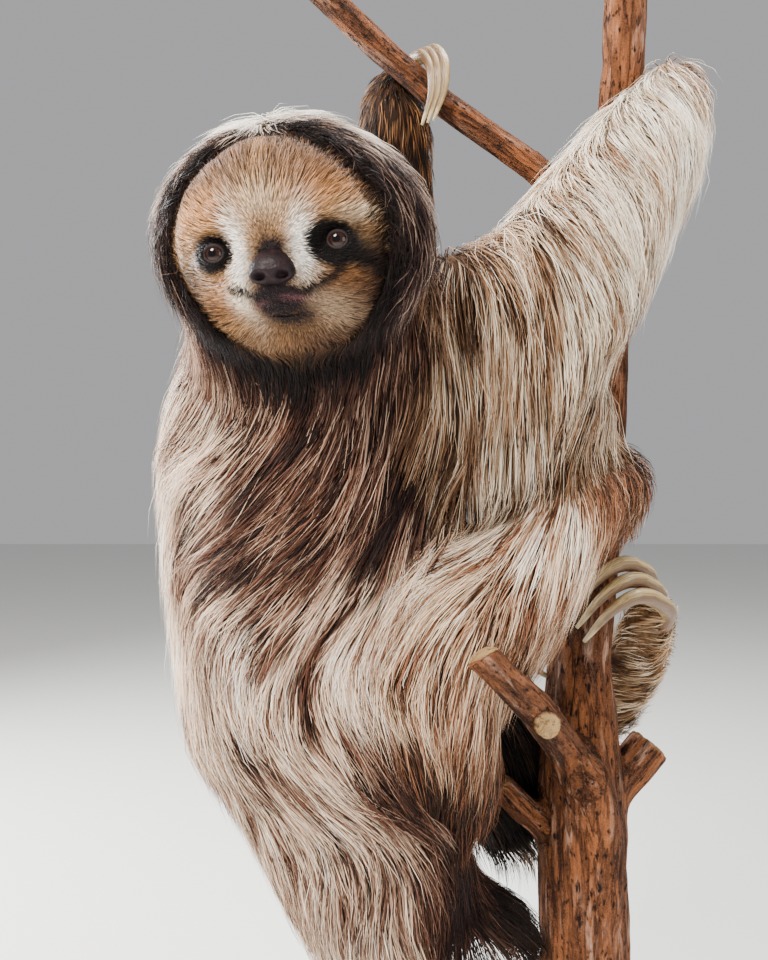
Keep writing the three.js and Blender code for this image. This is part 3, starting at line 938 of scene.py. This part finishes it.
# %% Guides for the lie of the coat
GUIDES = {
    "torso": [
        (-101, 480, -1, -0.15), (-85, 470, -1, -0.15), (-109, 465, -0.5, -0.8), (-64, 459, -1, -0.5),
        (-27, 474, -0.6, -1), (3, 474, -0.35, -1), (23, 488, -0.3, -1), (-105, 445, -0.6, -0.7),
        (-79, 430, -1, -0.4), (-41, 430, -1, -0.7), (-12, 433, -0.9, -1), (11, 442, -0.7, -1),
        (-44, 502, -0.3, -1), (-75, 496, -0.5, -1), (-2, 502, -0.2, -1), (-105, 402, 0.1, -1),
        (-79, 402, -1, -0.6), (-49, 396, -1, -0.6), (-29, 390, -0.5, -1), (-101, 373, 0.4, -1),
        (-79, 373, 0, -1), (-55, 367, -0.3, -1), (-96, 344, 0.7, -1), (-75, 344, 0.6, -1),
        (-53, 344, 0.3, -1), (-84, 321, 0.9, -0.8), (-58, 315, 1, -0.8), (-35, 315, 0.9, -0.9),
        (-21, 344, 0.8, -0.9), (-1, 329, 0.7, -1), (-47, 289, 1, -0.5), (-18, 292, 1, -0.45),
        (11, 289, 0.9, -0.7), (-64, 277, 0.5, -1), (-35, 257, -0.1, -1), (-55, 246, -0.15, -1),
        (-6, 251, -0.3, -1), (17, 257, 0.5, -1), (-27, 228, -0.15, -1), (34, 242, 0.5, -1),
        (8, 221, 0.2, -1),
    ],
    "arm": [
        (97, 604, 0.7, -1), (118, 635, 0.5, -1), (77, 594, 0.8, -1), (62, 584, 0.7, -1),
        (67, 563, 0.45, -1), (46, 584, 0.4, -1), (41, 563, 0.1, -1), (28, 563, -0.1, -1),
        (107, 563, 0.45, -1), (128, 553, 0.1, -1), (128, 655, 0.4, -1), (148, 676, 0.3, -1),
        (169, 665, 0.1, -1), (164, 625, -0.15, -1), (154, 594, -0.2, -1), (117, 540, 0.15, -1),
        (85, 531, 0.1, -1), (52, 514, 0, -1), (25, 514, -0.15, -1), (128, 503, -0.1, -1),
    ],
    "thigh": [
        (-6, 411, -0.9, -0.4), (-12, 387, -0.3, -1), (8, 378, -0.6, -1), (-6, 355, 0.4, -1),
        (17, 344, 0.4, -1), (35, 439, -0.9, -0.6), (59, 442, -0.6, -1), (84, 442, -0.35, -1),
        (108, 447, -0.1, -1), (51, 421, -0.7, -0.9), (75, 415, -0.4, -1), (92, 415, -0.25, -1),
        (35, 398, -0.6, -1), (124, 483, 0.9, -0.4), (136, 467, 0.1, -1), (129, 458, -0.3, -1),
        (116, 480, 0.5, -0.8), (24, 418, -1, -0.6), (3, 398, -0.6, -1), (40, 366, -0.2, -1),
        (60, 377, -0.3, -1), (81, 387, -0.3, -1), (29, 320, 0.1, -1), (50, 325, -0.2, -1),
    ],
}
print("guides", {name: len(guides) for name, guides in GUIDES.items()})


# %% Which way the hair lies
def head_lie(where):
    """Hair points away from the nose on the face, and sweeps down both sides from the crown on the hood."""
    across, ahead, above = to_head(where)
    out = unit(np.stack([across + 1, 0 * across, above + 14], 1))
    round_a, round_h = unit(np.stack([across + 2, above + 6], 1)).T
    side = np.tanh((across - PARTING) / 5)
    low = bump(-above, 30, 60)
    forwards = 0.15 + 0.2 * low - 0.7 * (1 - np.abs(side))
    sweep = np.stack([side * round_h, forwards, -side * round_a - 0.3 * low], 1)
    # The rim's hair hangs over the face.
    inwards = (0.38 + 0.25 * bump(-across, 0, 30)) * (1 - bump(disc_of(across, above), 1.0, 1.2)) * (1 - low)
    sweep -= np.stack([round_a * inwards, 0 * inwards, round_h * inwards], 1)
    crown = bump(-ahead, -8, 30)[:, None]
    sweep = sweep * (1 - crown) + np.stack([0.5 * side, 0.8 + 0 * side, -0.5 + 0 * side], 1) * crown
    share = face_share(where)[:, None]
    return unit(out * share + unit(sweep) * (1 - share)) @ TURN.T


def lie_of(where, normal, weight):
    """The way of the hair along the skin: the guides' on the near side, and the plain way elsewhere."""
    near = 1 - bump(normal[:, 1], -0.1, 0.5)[:, None]
    drawn = {}
    for name, guides in GUIDES.items():
        g = np.array(guides, float)
        apart = ((where[:, None, ::2] * 1000 - g[:, :2]) ** 2).sum(2)
        way = (apart + 60.0) ** -1.7 @ g[:, 2:]
        drawn[name] = unit(np.stack([way[:, 0], 0 * way[:, 0], way[:, 1]], 1))
    total = np.zeros_like(where)
    for name, guides, plain, share in zip(FLESH, GUIDES_OF, PLAIN_WAY, weight.T):
        way = np.tile(unit(np.array(plain, float)), (len(where), 1))
        if guides:
            way = drawn[guides] * near + way * (1 - near)
        if name == "head":
            way = head_lie(where)
        total += way * share[:, None]
    total -= normal * (total * normal).sum(1, keepdims=True)
    return unit(total)


def length_of(where, weight):
    """The hair's length in metres: short on the face, shorter in the fold, and long below the arm."""
    across, ahead, above = to_head(where)
    long = weight @ np.array(HAIR_LENGTH, float)
    from_nose = np.hypot(across, above + 20)
    face = 3.0 + 7.5 * bump(from_nose, 14, 42) + 6.0 * bump(above, 6, 34) + 2.5 * bump(-above, 42, 54)
    face *= 0.35 + 0.65 * bump(from_eyes(across, above), 6, 15)
    face *= 1 - 0.65 * mound(across, above, (0, -35), 14, 8)
    face *= 1 - 0.4 * bump(disc_of(across, above), 0.78, 0.95) * bump(above, 0, 20)
    share = face_share(where) * bump(weight[:, 0], 0.3, 0.7)
    hood = long * (0.62 + 0.38 * bump(-ahead, -30, 0)) * (1 - 0.45 * bump(-above, 15, 45))
    long = np.where(weight[:, 0] > 0.5, hood, long)
    fold, rump = np.exp(-((from_fold(where) / 12) ** 2)), spot(where, (-96, -30, 300), (46, 90, 56))
    long = long * (1 - 0.4 * fold - 0.3 * rump)
    long = long + 20 * spot(where, (44, -70, 488), (56, 80, 34)) + 10 * bump(-where[:, 2] * 1000, -240, -190)
    return (long * (1 - share) + face * share) / 1000


# %% Where locks can grow
skin.data.calc_loop_triangles()
tris = read(skin.data.loop_triangles, "vertices", 3, np.int32)
tri_loops = read(skin.data.loop_triangles, "loops", 3, np.int32)
uv = read(skin.data.uv_layers["OFBake"].data, "uv", 2).astype(float)
spots, ways_out = points(skin), normals(skin)
corner, second, third = (spots[tris[:, k]] for k in range(3))
tri_area = np.linalg.norm(np.cross(second - corner, third - corner), axis=1)
tri_weight = weights[tris].mean(1)
tri_spot = spots[tris].mean(1)
tri_face = face_share(tri_spot)
ragged = 0.7 * ripple(tri_spot, 300) * (np.abs(tri_face - 0.5) < 0.49)  # so that no line shows round the face
tri_face = tri_face * (tri_weight[:, 0] > 0.5) + ragged
astray = 0.42 * (ripple(spots, 32) + 0.6 * ripple(spots, 80)) * (1 - 0.8 * weights[:, 0])
astray = astray[:, None]  # radians: locks part and cross a little, in patches
skin_lie = lie_of(spots, ways_out, weights)
skin_lie = unit(skin_lie * np.cos(astray) + np.cross(ways_out, skin_lie) * np.sin(astray))
skin_tree = BVHTree.FromPolygons(spots.tolist(), tris.tolist())
print("skin triangles", len(tris))


# %% Combing and clumping
def nearest(where):
    """The nearest point of the skin to each point, its triangle and which way is out."""
    found = [skin_tree.find_nearest(p) for p in where.tolist()]
    at = np.array([f[0] for f in found])
    tri = np.array([f[2] for f in found])
    out = unit(ways_out[tris[tri]].mean(1))
    return at, tri, out


ROOT_DEPTH = 0.0006  # metres into the skin
DOWN = np.array([0, 0, -1.0])


def comb_out(root, out, tri, length, steps, lift, cling, gravity, swerve):
    """Walks every lock from root to tip, and returns its points and the way out of the skin at each."""
    line, outs = [root - out * ROOT_DEPTH], [out]
    phase = rng.uniform(0, 6.28, len(root))
    here, way = line[0], unit(skin_lie[tris[tri]].mean(1) + out * lift[:, None])
    stride = length / steps
    for k in range(1, steps + 1):
        t = k / steps
        here = here + way * stride[:, None]
        at, tri, out = nearest(here)
        height = ((here - at) * out).sum(1)
        free = bump(-out[:, 2], 0.4, 0.9) * bump(height, 0.001, 0.006)
        lowest = 0.0004 + cling * (0.25 + 0.75 * t) * 0.35
        highest = 0.0008 + cling * min(1.0, 0.25 + t)
        wanted = np.where(height > highest, highest + (height - highest) * np.maximum(free, 0.15), height)
        wanted = np.maximum(wanted, lowest)
        here = here + out * (wanted - height)[:, None]
        line.append(here)
        outs.append(out)
        onward = unit(here - line[-2])
        lie = skin_lie[tris[tri]].mean(1)
        turn = (swerve * np.sin(phase + 2.6 * t))[:, None]
        lie = lie * np.cos(turn) + np.cross(out, lie) * np.sin(turn)
        pull = gravity * (0.15 + 0.85 * t) + 0.75 * free[:, None]
        way = unit(0.55 * onward + 0.55 * lie * (1 - free[:, None]) + DOWN * pull)
    return np.stack(line, 1), np.stack(outs, 1)


def clump(line, root, size, strength):
    """Draws the locks of each neighbourhood together towards their tips."""
    centres = rng.choice(len(root), max(1, len(root) // size), replace=False)
    tree = kdtree.KDTree(len(centres))
    for i, c in enumerate(centres):
        tree.insert(root[c], i)
    tree.balance()
    mine = centres[[tree.find(p)[1] for p in root.tolist()]]
    t = np.linspace(0, 1, line.shape[1])[None, :, None]
    aim = line[mine] + (root - root[mine])[:, None] * 0.35
    pull = np.reshape(strength * rng.uniform(0.4, 1.0, len(root)), (-1, 1, 1)) * t**1.3
    return line + (aim - line) * pull, mine


print("roots go", ROOT_DEPTH * 1000, "mm into the skin")

# %% [markdown]
# Each lock becomes a closed blade: rings of three points, thinner towards a single point at the tip. All
# the locks of one region are one mesh, made in one go from arrays, because operators would take minutes for
# so many. The second attribute, `lock`, says how far along its lock each point is, so that the roots can be
# dark: a darker undercoat, with painted shade among the locks. The tips are paler, partly a painted
# highlight.


# %% Weaving locks into a mesh
PATCH = 0.003  # the side of each lock's patch on the sheet


def blade_faces(count, rings):
    """The corners of every face of so many blades, and where each face starts in them."""
    last = (rings - 2) * 3
    per_blade = last + 4
    edges = [(0, 1), (1, 2), (2, 0)]
    sides = [(r + a, r + b, r + b + 3, r + a + 3) for r in range(0, last, 3) for a, b in edges]
    ends = [(0, 2, 1)] + [(last + a, last + b, last + 3) for a, b in edges]
    first = (np.arange(count) * per_blade)[:, None, None]
    quads, caps = (np.array(one)[None] + first for one in (sides, ends))
    sizes = np.repeat([4, 3], [count * len(sides), count * len(ends)])
    starts = np.cumsum(sizes) - sizes
    return np.concatenate([quads.ravel(), caps.ravel()]).astype(np.int32), starts.astype(np.int32)


def weave(name, line, outs, width, colour, deep, uv_root):
    """One joined mesh of closed three-sided blades, each with a patch of the sheet at its root's place."""
    count, rings = line.shape[:2]
    along = np.gradient(line, axis=1)
    flat = unit(np.cross(along, outs))
    rise = unit(np.cross(flat, along))[:, :-1]
    t = np.linspace(0, 1, rings)
    taper = np.interp(t, [0, 0.15, 0.6, 1], [0.7, 1, 0.8, 0.0])[:-1]
    half = width[:, None, None] * taper[None, :, None] / 2
    body, flat = line[:, :-1], flat[:, :-1] * half
    ring = np.stack([body - flat, body + rise * half * 0.8, body + flat], 2)
    verts = np.concatenate([ring.reshape(count, -1, 3), line[:, -1:]], 1)
    loops, starts = blade_faces(count, rings)
    mesh = bpy.data.meshes.new(name)
    mesh.vertices.add(count * verts.shape[1])
    mesh.loops.add(len(loops))
    mesh.polygons.add(len(starts))
    mesh.vertices.foreach_set("co", verts.astype(np.float32).ravel())
    mesh.loops.foreach_set("vertex_index", loops)
    mesh.polygons.foreach_set("loop_start", starts)
    mesh.update(calc_edges=True)
    down = np.append(np.repeat(t[:-1], 3), 1.0)
    side = np.append(np.tile([0.0, 0.5, 1.0], rings - 1), 0.5)
    store_marking(mesh, np.repeat(colour[:, None], verts.shape[1], 1))
    # roots are darkened for the undercoat and for painted shade among the locks; a smaller deep makes them
    # less dark
    store(mesh, "lock", np.stack(np.broadcast_arrays(1 - (1 - down) * deep, side, np.zeros((count, 1))), 2))
    patch = uv_root[:, None] + (np.stack([side, down], 1) - 0.5)[None] * PATCH
    patch = np.clip(patch, 0.0005, 0.9995).reshape(-1, 2)
    mesh.uv_layers.new(name="OFBake").data.foreach_set("uv", patch[loops].astype(np.float32).ravel())
    made = bpy.data.objects.new(name, mesh)
    bpy.context.scene.collection.objects.link(made)
    return made


coat_mat, start = material("coat", roughness=0.5, specular_ior_level=0.22)
paint = start.attribute("marking", 0)
root_to_tip = start.attribute("lock").part(0)
# darker roots: a darker undercoat, with painted shade among the locks
coat = (paint * 0.26).mix(paint, root_to_tip.ramp(0.0, 0.45))
# paler tips: paler hair ends, with a painted highlight where the light catches them
dress(coat_mat, coat.mix(coat * 1.45, root_to_tip.ramp(0.5, 1.0)))
print("a lock of three steps has", len(blade_faces(1, 4)[1]), "faces")


# %% The coat's ten regions
def part_of(*names):
    """How much each triangle of the skin belongs to these flesh nodes together."""
    return sum(tri_weight[:, FLESH.index(name)] for name in names)


z = tri_spot[:, 2]
body = part_of("torso", "tail") > 0.5
regions = {
    "face_coat": tri_face > 0.4,
    "hood_coat": (part_of("head") > 0.5) & (tri_face <= 0.4),
    "neck_coat": part_of("neck") > 0.5,
    "back_coat": body & (z > 0.40),
    "flank_coat": body & (z <= 0.40) & (z > 0.29),
    "rump_coat": body & (z <= 0.29),
    "near_arm_coat": part_of("upper_arm_right", "forearm_right", "hand_right") > 0.5,
    "far_arm_coat": part_of("upper_arm_left", "forearm_left", "hand_left") > 0.5,
    "near_thigh_coat": part_of("thigh_right") > 0.5,
}
regions["leg_coat"] = ~np.any(list(regions.values()), axis=0)
LOCKS = {  # how many, how wide in millimetres, how many steps, and how far the coat stands off the skin
    "face_coat": (18600, 0.36, 2, 1.6), "hood_coat": (8700, 0.56, 4, 8.5), "neck_coat": (6800, 0.64, 3, 9),
    "back_coat": (11700, 0.66, 3, 12), "flank_coat": (10600, 0.66, 3, 12), "rump_coat": (8900, 0.70, 3, 11),
    "near_arm_coat": (11500, 0.60, 3, 10), "far_arm_coat": (4800, 0.64, 3, 5),
    "near_thigh_coat": (10200, 0.60, 3, 10), "leg_coat": (5400, 0.64, 3, 7),
}
print("locks", sum(count for count, *_ in LOCKS.values()))


# %% Roots
def scatter(mask, count):
    """Random roots on the masked triangles, more on the near side and at the parting, none under the nose."""
    across, ahead, above = to_head(tri_spot)
    facing = 1 + 0.5 * (ways_out[tris].mean(1)[:, 1] < 0.1)
    parting = np.exp(-(((across - PARTING) / 7) ** 2)) * bump(above, 36, 44) * bump(ahead, -30, -5)
    under_nose = mound(across, above, NOSE_AT, 9.5, 7) * bump(ahead, 20, 30) > 0.45
    chance = tri_area * mask * facing * (1 + 6 * parting) * ~under_nose
    tri = rng.choice(len(tris), count, p=chance / chance.sum())
    mixing = rng.dirichlet((1, 1, 1), count)[..., None]
    corners = spots[tris[tri]], ways_out[tris[tri]], weights[tris[tri]], uv[tri_loops[tri]]
    root, out, weight, uv_root = ((values * mixing).sum(1) for values in corners)
    return tri, root, unit(out), weight, uv_root


print("the skin's area is", round(tri_area.sum(), 3), "square metres")


# %% Locks
FINE_SHARE = 0.45  # fine paler hairs, which lie above the broad darker locks
WILD_SHARE = 0.05  # hairs that stand right off


def lock_colour(root, tip, weight, fine, mine, count):
    """Every lock's colour: clumps, patches and single hairs differ in tone, tips in the fold get painted
    shade, and the face has its markings.
    """
    patchy = ripple(root * (70, 70, 16), 1)
    deep = 0.6 - 1.9 * rng.random(count)[mine] ** 2  # most clumps are pale and a few are dark
    tone = deep + 0.6 * rng.uniform(-1, 1, count) + 0.65 * patchy + 0.5 * fine - 0.22
    # painted shade: locks whose tips reach into the fold are darker
    tone -= 1.1 * np.exp(-((from_fold(tip) / 5.0) ** 2)) * (tip[:, 1] < -0.04)
    colour = body_colour(root, weight, tone)
    share = (face_share(root) * bump(weight[:, 0], 0.3, 0.7))[:, None]
    streaky = 0.42 + 0.35 * bump(to_head(root)[2], 0, 25)
    marks = face_colour(root + rng.normal(0, 0.0005, root.shape), rng.normal(0, 0.06, count))
    marks = marks * (1 + streaky * rng.uniform(-1, 1, count))[:, None]
    return colour * (1 - share) + marks * share


def grow(name, mask, count, wide, steps, stand_off):
    """The coat of one region as one finished piece; returns how many triangles it has."""
    is_face = name == "face_coat"
    tri, root, out, weight, uv_root = scatter(mask, count)
    fine = np.zeros(count) if is_face else (rng.random(count) < FINE_SHARE).astype(float)
    length = length_of(root, weight) * rng.uniform(0.65, 1.2, count) * (1 + 0.12 * fine)
    wild = rng.random(count) < (0 if is_face else WILD_SHARE)
    height = rng.uniform(0.3, 0.95, count) + 0.25 * fine + 0.6 * wild
    loft = np.minimum(length * 0.3, stand_off / 1000) * height
    lift = rng.uniform(0.18, 0.5, count)
    if is_face:  # at the edge of the face the hair is longer and lies over the rim of the hood
        across, _, above = to_head(root)
        near_rim = bump(disc_of(across, above), 0.82, 1.0) * bump(above, -30, -5)
        lift, loft = lift + 0.9 * near_rim, loft + 0.005 * near_rim * rng.random(count)
        length = length * (1 + 0.5 * near_rim)
    swerve = rng.normal(0, 1, count) * (0.26 if is_face else 0.16 + 0.16 * fine) * (1 + 1.5 * rim_share(root))
    line, outs = comb_out(root, out, tri, length, steps, lift, loft, 0.02 if is_face else 0.14, swerve)
    line, mine = clump(line, root, 4 if is_face else 8, 0.2 if is_face else 0.6 - 0.3 * fine)
    colour = lock_colour(root, line[:, -1], weight, fine, mine, count)
    width = wide / 1000 * rng.uniform(0.7, 1.25, count) * (1.3 - 0.68 * fine)
    # the face's roots get less of the dark undercoat and painted shade
    made = weave(name, line, outs, width, colour, 0.6 if is_face else 1.0, uv_root)
    finish(made, coat_mat)
    faces = len(made.data.loops) - 2 * len(made.data.polygons)
    print(name, count, "locks,", faces, "triangles, lowest", round(float(line[..., 2].min()), 3))
    return faces


total = 0
for name, mask in regions.items():
    count, wide, steps, stand_off = LOCKS[name]
    total += grow(name, mask, count, wide, steps, stand_off)
print("coat", total, "triangles")

# %% [markdown]
# ## The cut trunk
#
# The trunk and its branches are remeshed into one piece of wood. Noise stretched along the trunk gives the
# bark its ridges, and the sawn ends stay flat, with a pale face and rings. An image of bark would need no
# relief, but real ridges catch the light and keep their shape from every side.

# %% The wood and its lines
WOOD = ["perch_trunk", "perch_branch", "perch_limb", "perch_shoot", "perch_stub_right", "perch_stub_left"]
SAWN = {  # where each sawn end is, which way it faces, its radius in millimetres, and how fresh the cut is
    "foot": ((124, 0, 100), (0, 0, -1), 29, 1.0), "top": ((152, 0, 800), (0.05, 0, 1), 12, 1.0),
    "branch": ((-46, 15, 775), (-46, 0, 44), 9, 1.0), "limb": ((47, -125, 373), (-0.42, -0.12, 0.9), 11, 1.0),
    "shoot": ((88, -88, 328), (-2, -28, 2), 7, 1.0), "stub right": ((168, 16, 292), (18, 6, 20), 13.5, 0.3),
    "stub left": ((70, -8, 274), (-18, -3, 18), 8, 0.3),
}
RIDGE = [  # the line and the radius of the ridge that the limb runs on down the trunk with, in millimetres
    (106, -40, 304, 11.2), (118, -33, 288, 12.5), (127, -27, 264, 12.8), (131, -22, 236, 12.2),
    (132, -18, 206, 11.5), (131, -12, 178, 10.0),
]
JOINS = [  # where one stem grows out of another, and over how many millimetres they run into each other
    ((117, -28, 284), 28), ((142, 6, 266), 20), ((100, -6, 244), 18), ((134, 2, 618), 16),
]
GRAIN = {  # the line of each branch's pith, in millimetres
    "trunk": [(124, 0, 60), (122, -1, 262), (121, 0, 350), (130, 0, 450), (140, 0, 620), (152, 0, 820)],
    "branch": [(140, 0, 612), (93, 8, 656), (38, 12, 697), (0, 15, 731), (-60, 15, 789)],
    "limb": [(122, -6, 272), (103, -42, 308), (82, -78, 336), (42, -142, 380)],
    "shoot": [(90, -60, 326), (88, -96, 328)],
    "stub right": [(128, 2, 252), (150, 10, 272), (174, 18, 298)],
    "stub left": [(112, 0, 232), (88, -5, 256), (64, -9, 280)],
}
print("pieces of wood", len(WOOD))


# %% Which way the fibres run
def along_grain(where):
    """The points squeezed along the fibres of whichever branch each one belongs to, in metres."""
    best, squeezed = np.full(len(where), 1e9), where * 0.0
    for i, line in enumerate(GRAIN.values()):
        run = 0.0
        for a, b in zip(np.array(line[:-1], float), np.array(line[1:], float)):
            way, long = unit(b - a), np.linalg.norm(b - a)
            t = np.clip((where * 1000 - a) @ way, 0, long)
            off = where * 1000 - a - t[:, None] * way
            apart = np.linalg.norm(off, axis=1) - (8 if i == 0 else 0)
            if i and not run:
                apart = apart + 14 * (1 - bump(t, 16, 30))  # the root of a branch has the trunk's grain
            # The offset is turned to lie flat, so that the third number is only the way along the branch.
            turn = np.array(Vector(way).rotation_difference(Vector((0, 0, 1))).to_matrix())
            flat = off @ turn.T
            flat[:, 2] = (t + run) * 0.14
            closer = apart < best
            best = np.where(closer, apart, best)
            squeezed = np.where(closer[:, None], flat + np.array([i * 50, 0, 0]), squeezed)
            run += long
    return squeezed / 1000


print("lines of grain", len(GRAIN))

# %% One piece of wood
BARK_GRID = 0.0017
bark = copy_of(WOOD, "bark", 0.0004)
stops = np.array(RIDGE) / 1000
ridge = roll("ridge", stops[:, :3], stops[:, 3], sides=6)
select(bark, ridge)
bpy.ops.object.join()
modify(bark, "REMESH", mode="VOXEL", voxel_size=BARK_GRID)
modify(bark, "SMOOTH", iterations=6, factor=0.5)
where = points(bark) * 1000
join = sum(1 - bump(np.linalg.norm(where - np.array(at), axis=1) / size, 0.6, 1.3) for at, size in JOINS)
smooth_where(bark, "join", np.minimum(join, 1), 160)
print("wood", len(bark.data.vertices), "vertices")

# %% Sawn ends and ridges
RELIEF = 0.0013  # metres
where, out = points(bark), normals(bark)
sawn = np.zeros(len(where))
from_pith = np.zeros(len(where))
for at, axis, radius, fresh in SAWN.values():
    axis = unit(np.array(axis, float))
    off = where * 1000 - np.array(at)
    depth = off @ axis
    side = np.linalg.norm(off - depth[:, None] * axis, axis=1)
    here = (np.abs(depth) < 3.5) & (side < radius + 2)
    face = here * bump(depth, -1.9, -1.2) * (1 - bump(side, radius - 0.4, radius + 0.6))
    sawn = np.maximum(sawn, face * fresh)
    from_pith = np.where(here, side, from_pith)
fibre = along_grain(where)
tall = 1 - 3.2 * np.abs(ripple(fibre * (130, 130, 140), 1)) + 0.7 * ripple(fibre * (400, 400, 500), 1)
knots = ripple(fibre * (40, 40, 120) + (9, 0, 0), 1)
rough = 0.8 * knots + 0.35 - 0.75 * tall
on_trunk = bump(where[:, 2], 0.10, 0.11) * (np.abs(where[:, 0] - 0.13) < 0.035)
slender = 0.45 + 0.55 * on_trunk  # thin branches are smoother
rise = np.clip(rough, -1.6, 0.8) * RELIEF * slender * (1 - sawn)
place(bark, where + out * rise[:, None])
store(bark.data, "fibre", fibre)
store(bark.data, "wood", np.stack([sawn, from_pith / 30, rough], 1))
print("the bark's relief is", round(np.ptp(rise) * 1000, 1), "mm")

# %% The bark's material
bark_mat, start = material("bark", roughness=0.88, specular_ior_level=0.2)
wood, long_way = start.attribute("wood"), start.attribute("fibre")
fibres = start.texture(260.0, long_way, Detail=8.0, Roughness=0.7)
broad = start.texture(60.0, long_way, Detail=3.0)
speckle = start.texture(900.0, Detail=2.0)
cracks = (start.texture(130.0, long_way, Detail=4.0) - 0.5).maths("ABSOLUTE").ramp(0.0, 0.05)
pits = start.texture(420.0, long_way * (1.0, 1.0, 2.6), Detail=2.0)
deep_pits = (pits * 8.0 - 4.6).clamp()
base = start.tint(50, 28, 17)
colour = base.mix(linear(160, 98, 60), (fibres * 2.6 + broad * 1.8 + speckle * 0.9 - 2.2).clamp())
# painted highlight: raised ridges of bark are paler where their fibres stand out
ridge_highlight = (wood.part(2) * 1.2 - 0.1).clamp() * (fibres * 4.0 - 1.9).clamp()
colour = base.mix(colour.mix(linear(196, 168, 150), ridge_highlight * 0.85), cracks * 0.6 + 0.4)
colour = colour.mix(linear(30, 18, 14), deep_pits)
rings = start.texture(1.0, start.node("ShaderNodeCombineXYZ", {0: wood.part(1) * 140.0}))
fresh = start.tint(214, 178, 124).mix(linear(150, 104, 66), (rings * 2.2 - 0.75).clamp())
fresh = fresh.mix(linear(120, 84, 60), (pits * 4.0 - 2.2).clamp())
dress(bark_mat, colour.mix(fresh, wood.part(0)), fibres * 1.3 + cracks * 0.5 - deep_pits * 0.5, 0.003, 1.0)
finish(bark, bark_mat)
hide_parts(*WOOD)
print("bark", len(bark.data.polygons), "faces")

# %% [markdown]
# ## The display stand
#
# A lacquered plate with bevelled edges, and a steel rod into the foot of the trunk. Each is a primitive of
# its CAD node's size whose edges are bevelled: the plate's corners widely in edit mode, and the rims finely
# by a modifier.

# %% Base plate
low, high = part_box("stand_base")
bpy.ops.mesh.primitive_cube_add(size=1)
plate = bpy.context.object
plate.name = plate.data.name = "base_plate"
place(plate, points(plate) * np.array(high - low) + np.array((low + high) / 2))
ends = ([plate.data.vertices[v].co for v in edge.vertices] for edge in plate.data.edges)
edit(plate, "EDGE", [abs(a.z - b.z) > 0.01 for a, b in ends])
bpy.ops.mesh.bevel(offset=0.040, segments=10, affect="EDGES")
leave_edit()
modify(plate, "BEVEL", width=0.003, segments=3, angle_limit=math.radians(40))
lacquer = {"roughness": 0.32, "coat_weight": 0.5, "coat_roughness": 0.12, "base_color": linear(34, 31, 30)}
finish(plate, material("lacquer", **lacquer)[0])
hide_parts("stand_base")
print("base plate", [round(v, 3) for v in high - low])

# %% Steel rod
low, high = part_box("stand_rod")
bpy.ops.mesh.primitive_cylinder_add(vertices=48, radius=(high - low).x / 2, depth=(high - low).z)
rod = bpy.context.object
rod.name = rod.data.name = "steel_rod"
place(rod, points(rod) + np.array((low + high) / 2))
modify(rod, "BEVEL", width=0.0006, segments=2, angle_limit=math.radians(40))
finish(rod, material("steel", roughness=0.28, metallic=1.0, base_color=linear(176, 178, 180))[0])
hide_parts("stand_rod")
bpy.data.objects.remove(outer)
print("rod", [round(v, 3) for v in high - low])

# %% [markdown]
# ## Floor, light and camera
#
# A plain pale floor, one large soft light high on the left, a weaker one on the right, and a light behind
# the back that edges the coat, as daylight through leaves would.

# %% Floor
bpy.ops.mesh.primitive_plane_add(size=14)
floor = bpy.context.object
floor.name = floor.data.name = "floor"
floor.data.materials.append(material("floor", roughness=0.9, base_color=linear(226, 226, 222))[0])
print("floor", tuple(floor.dimensions))


# %% Lights
AIM = (0, 0, 0.45)  # metres, the middle of the animal


def soft_light(name, at, size, power, colour=(1, 1, 1)):
    lamp = bpy.data.lights.new(name, "AREA")
    lamp.shape = "DISK"
    lamp.size, lamp.energy, lamp.color = size, power, colour
    made = bpy.data.objects.new(name, lamp)
    made.location = at
    made.rotation_euler = (Vector(AIM) - Vector(at)).to_track_quat("-Z", "Y").to_euler()
    bpy.context.scene.collection.objects.link(made)


soft_light("key", (-0.9, -1.4, 1.7), 0.6, 88, colour=(1.0, 0.95, 0.87))
soft_light("fill", (1.4, -1.4, 0.8), 1.2, 15)
soft_light("edge", (-1.3, 0.6, 1.0), 0.8, 85)
soft_light("top", (0.5, 0.2, 1.9), 0.8, 45)
world = bpy.data.worlds.new("studio")
bpy.context.scene.world = world
world.use_nodes = True
sky = world.node_tree.nodes["Background"]
sky.inputs["Color"].default_value = (0.97, 0.97, 1.0, 1)
sky.inputs["Strength"].default_value = 0.45
print("lights", [one.name for one in bpy.data.lights])

# %% Camera
lens = bpy.data.cameras.new("camera")
lens.lens, lens.sensor_width, lens.clip_start = 40, 36, 0.01
camera = bpy.data.objects.new("camera", lens)
camera.location = (0, -0.66, 0.46)
camera.rotation_euler = (math.pi / 2, 0, 0)
bpy.context.scene.collection.objects.link(camera)
bpy.context.scene.camera = camera
print("camera", tuple(camera.location), lens.lens, "mm")
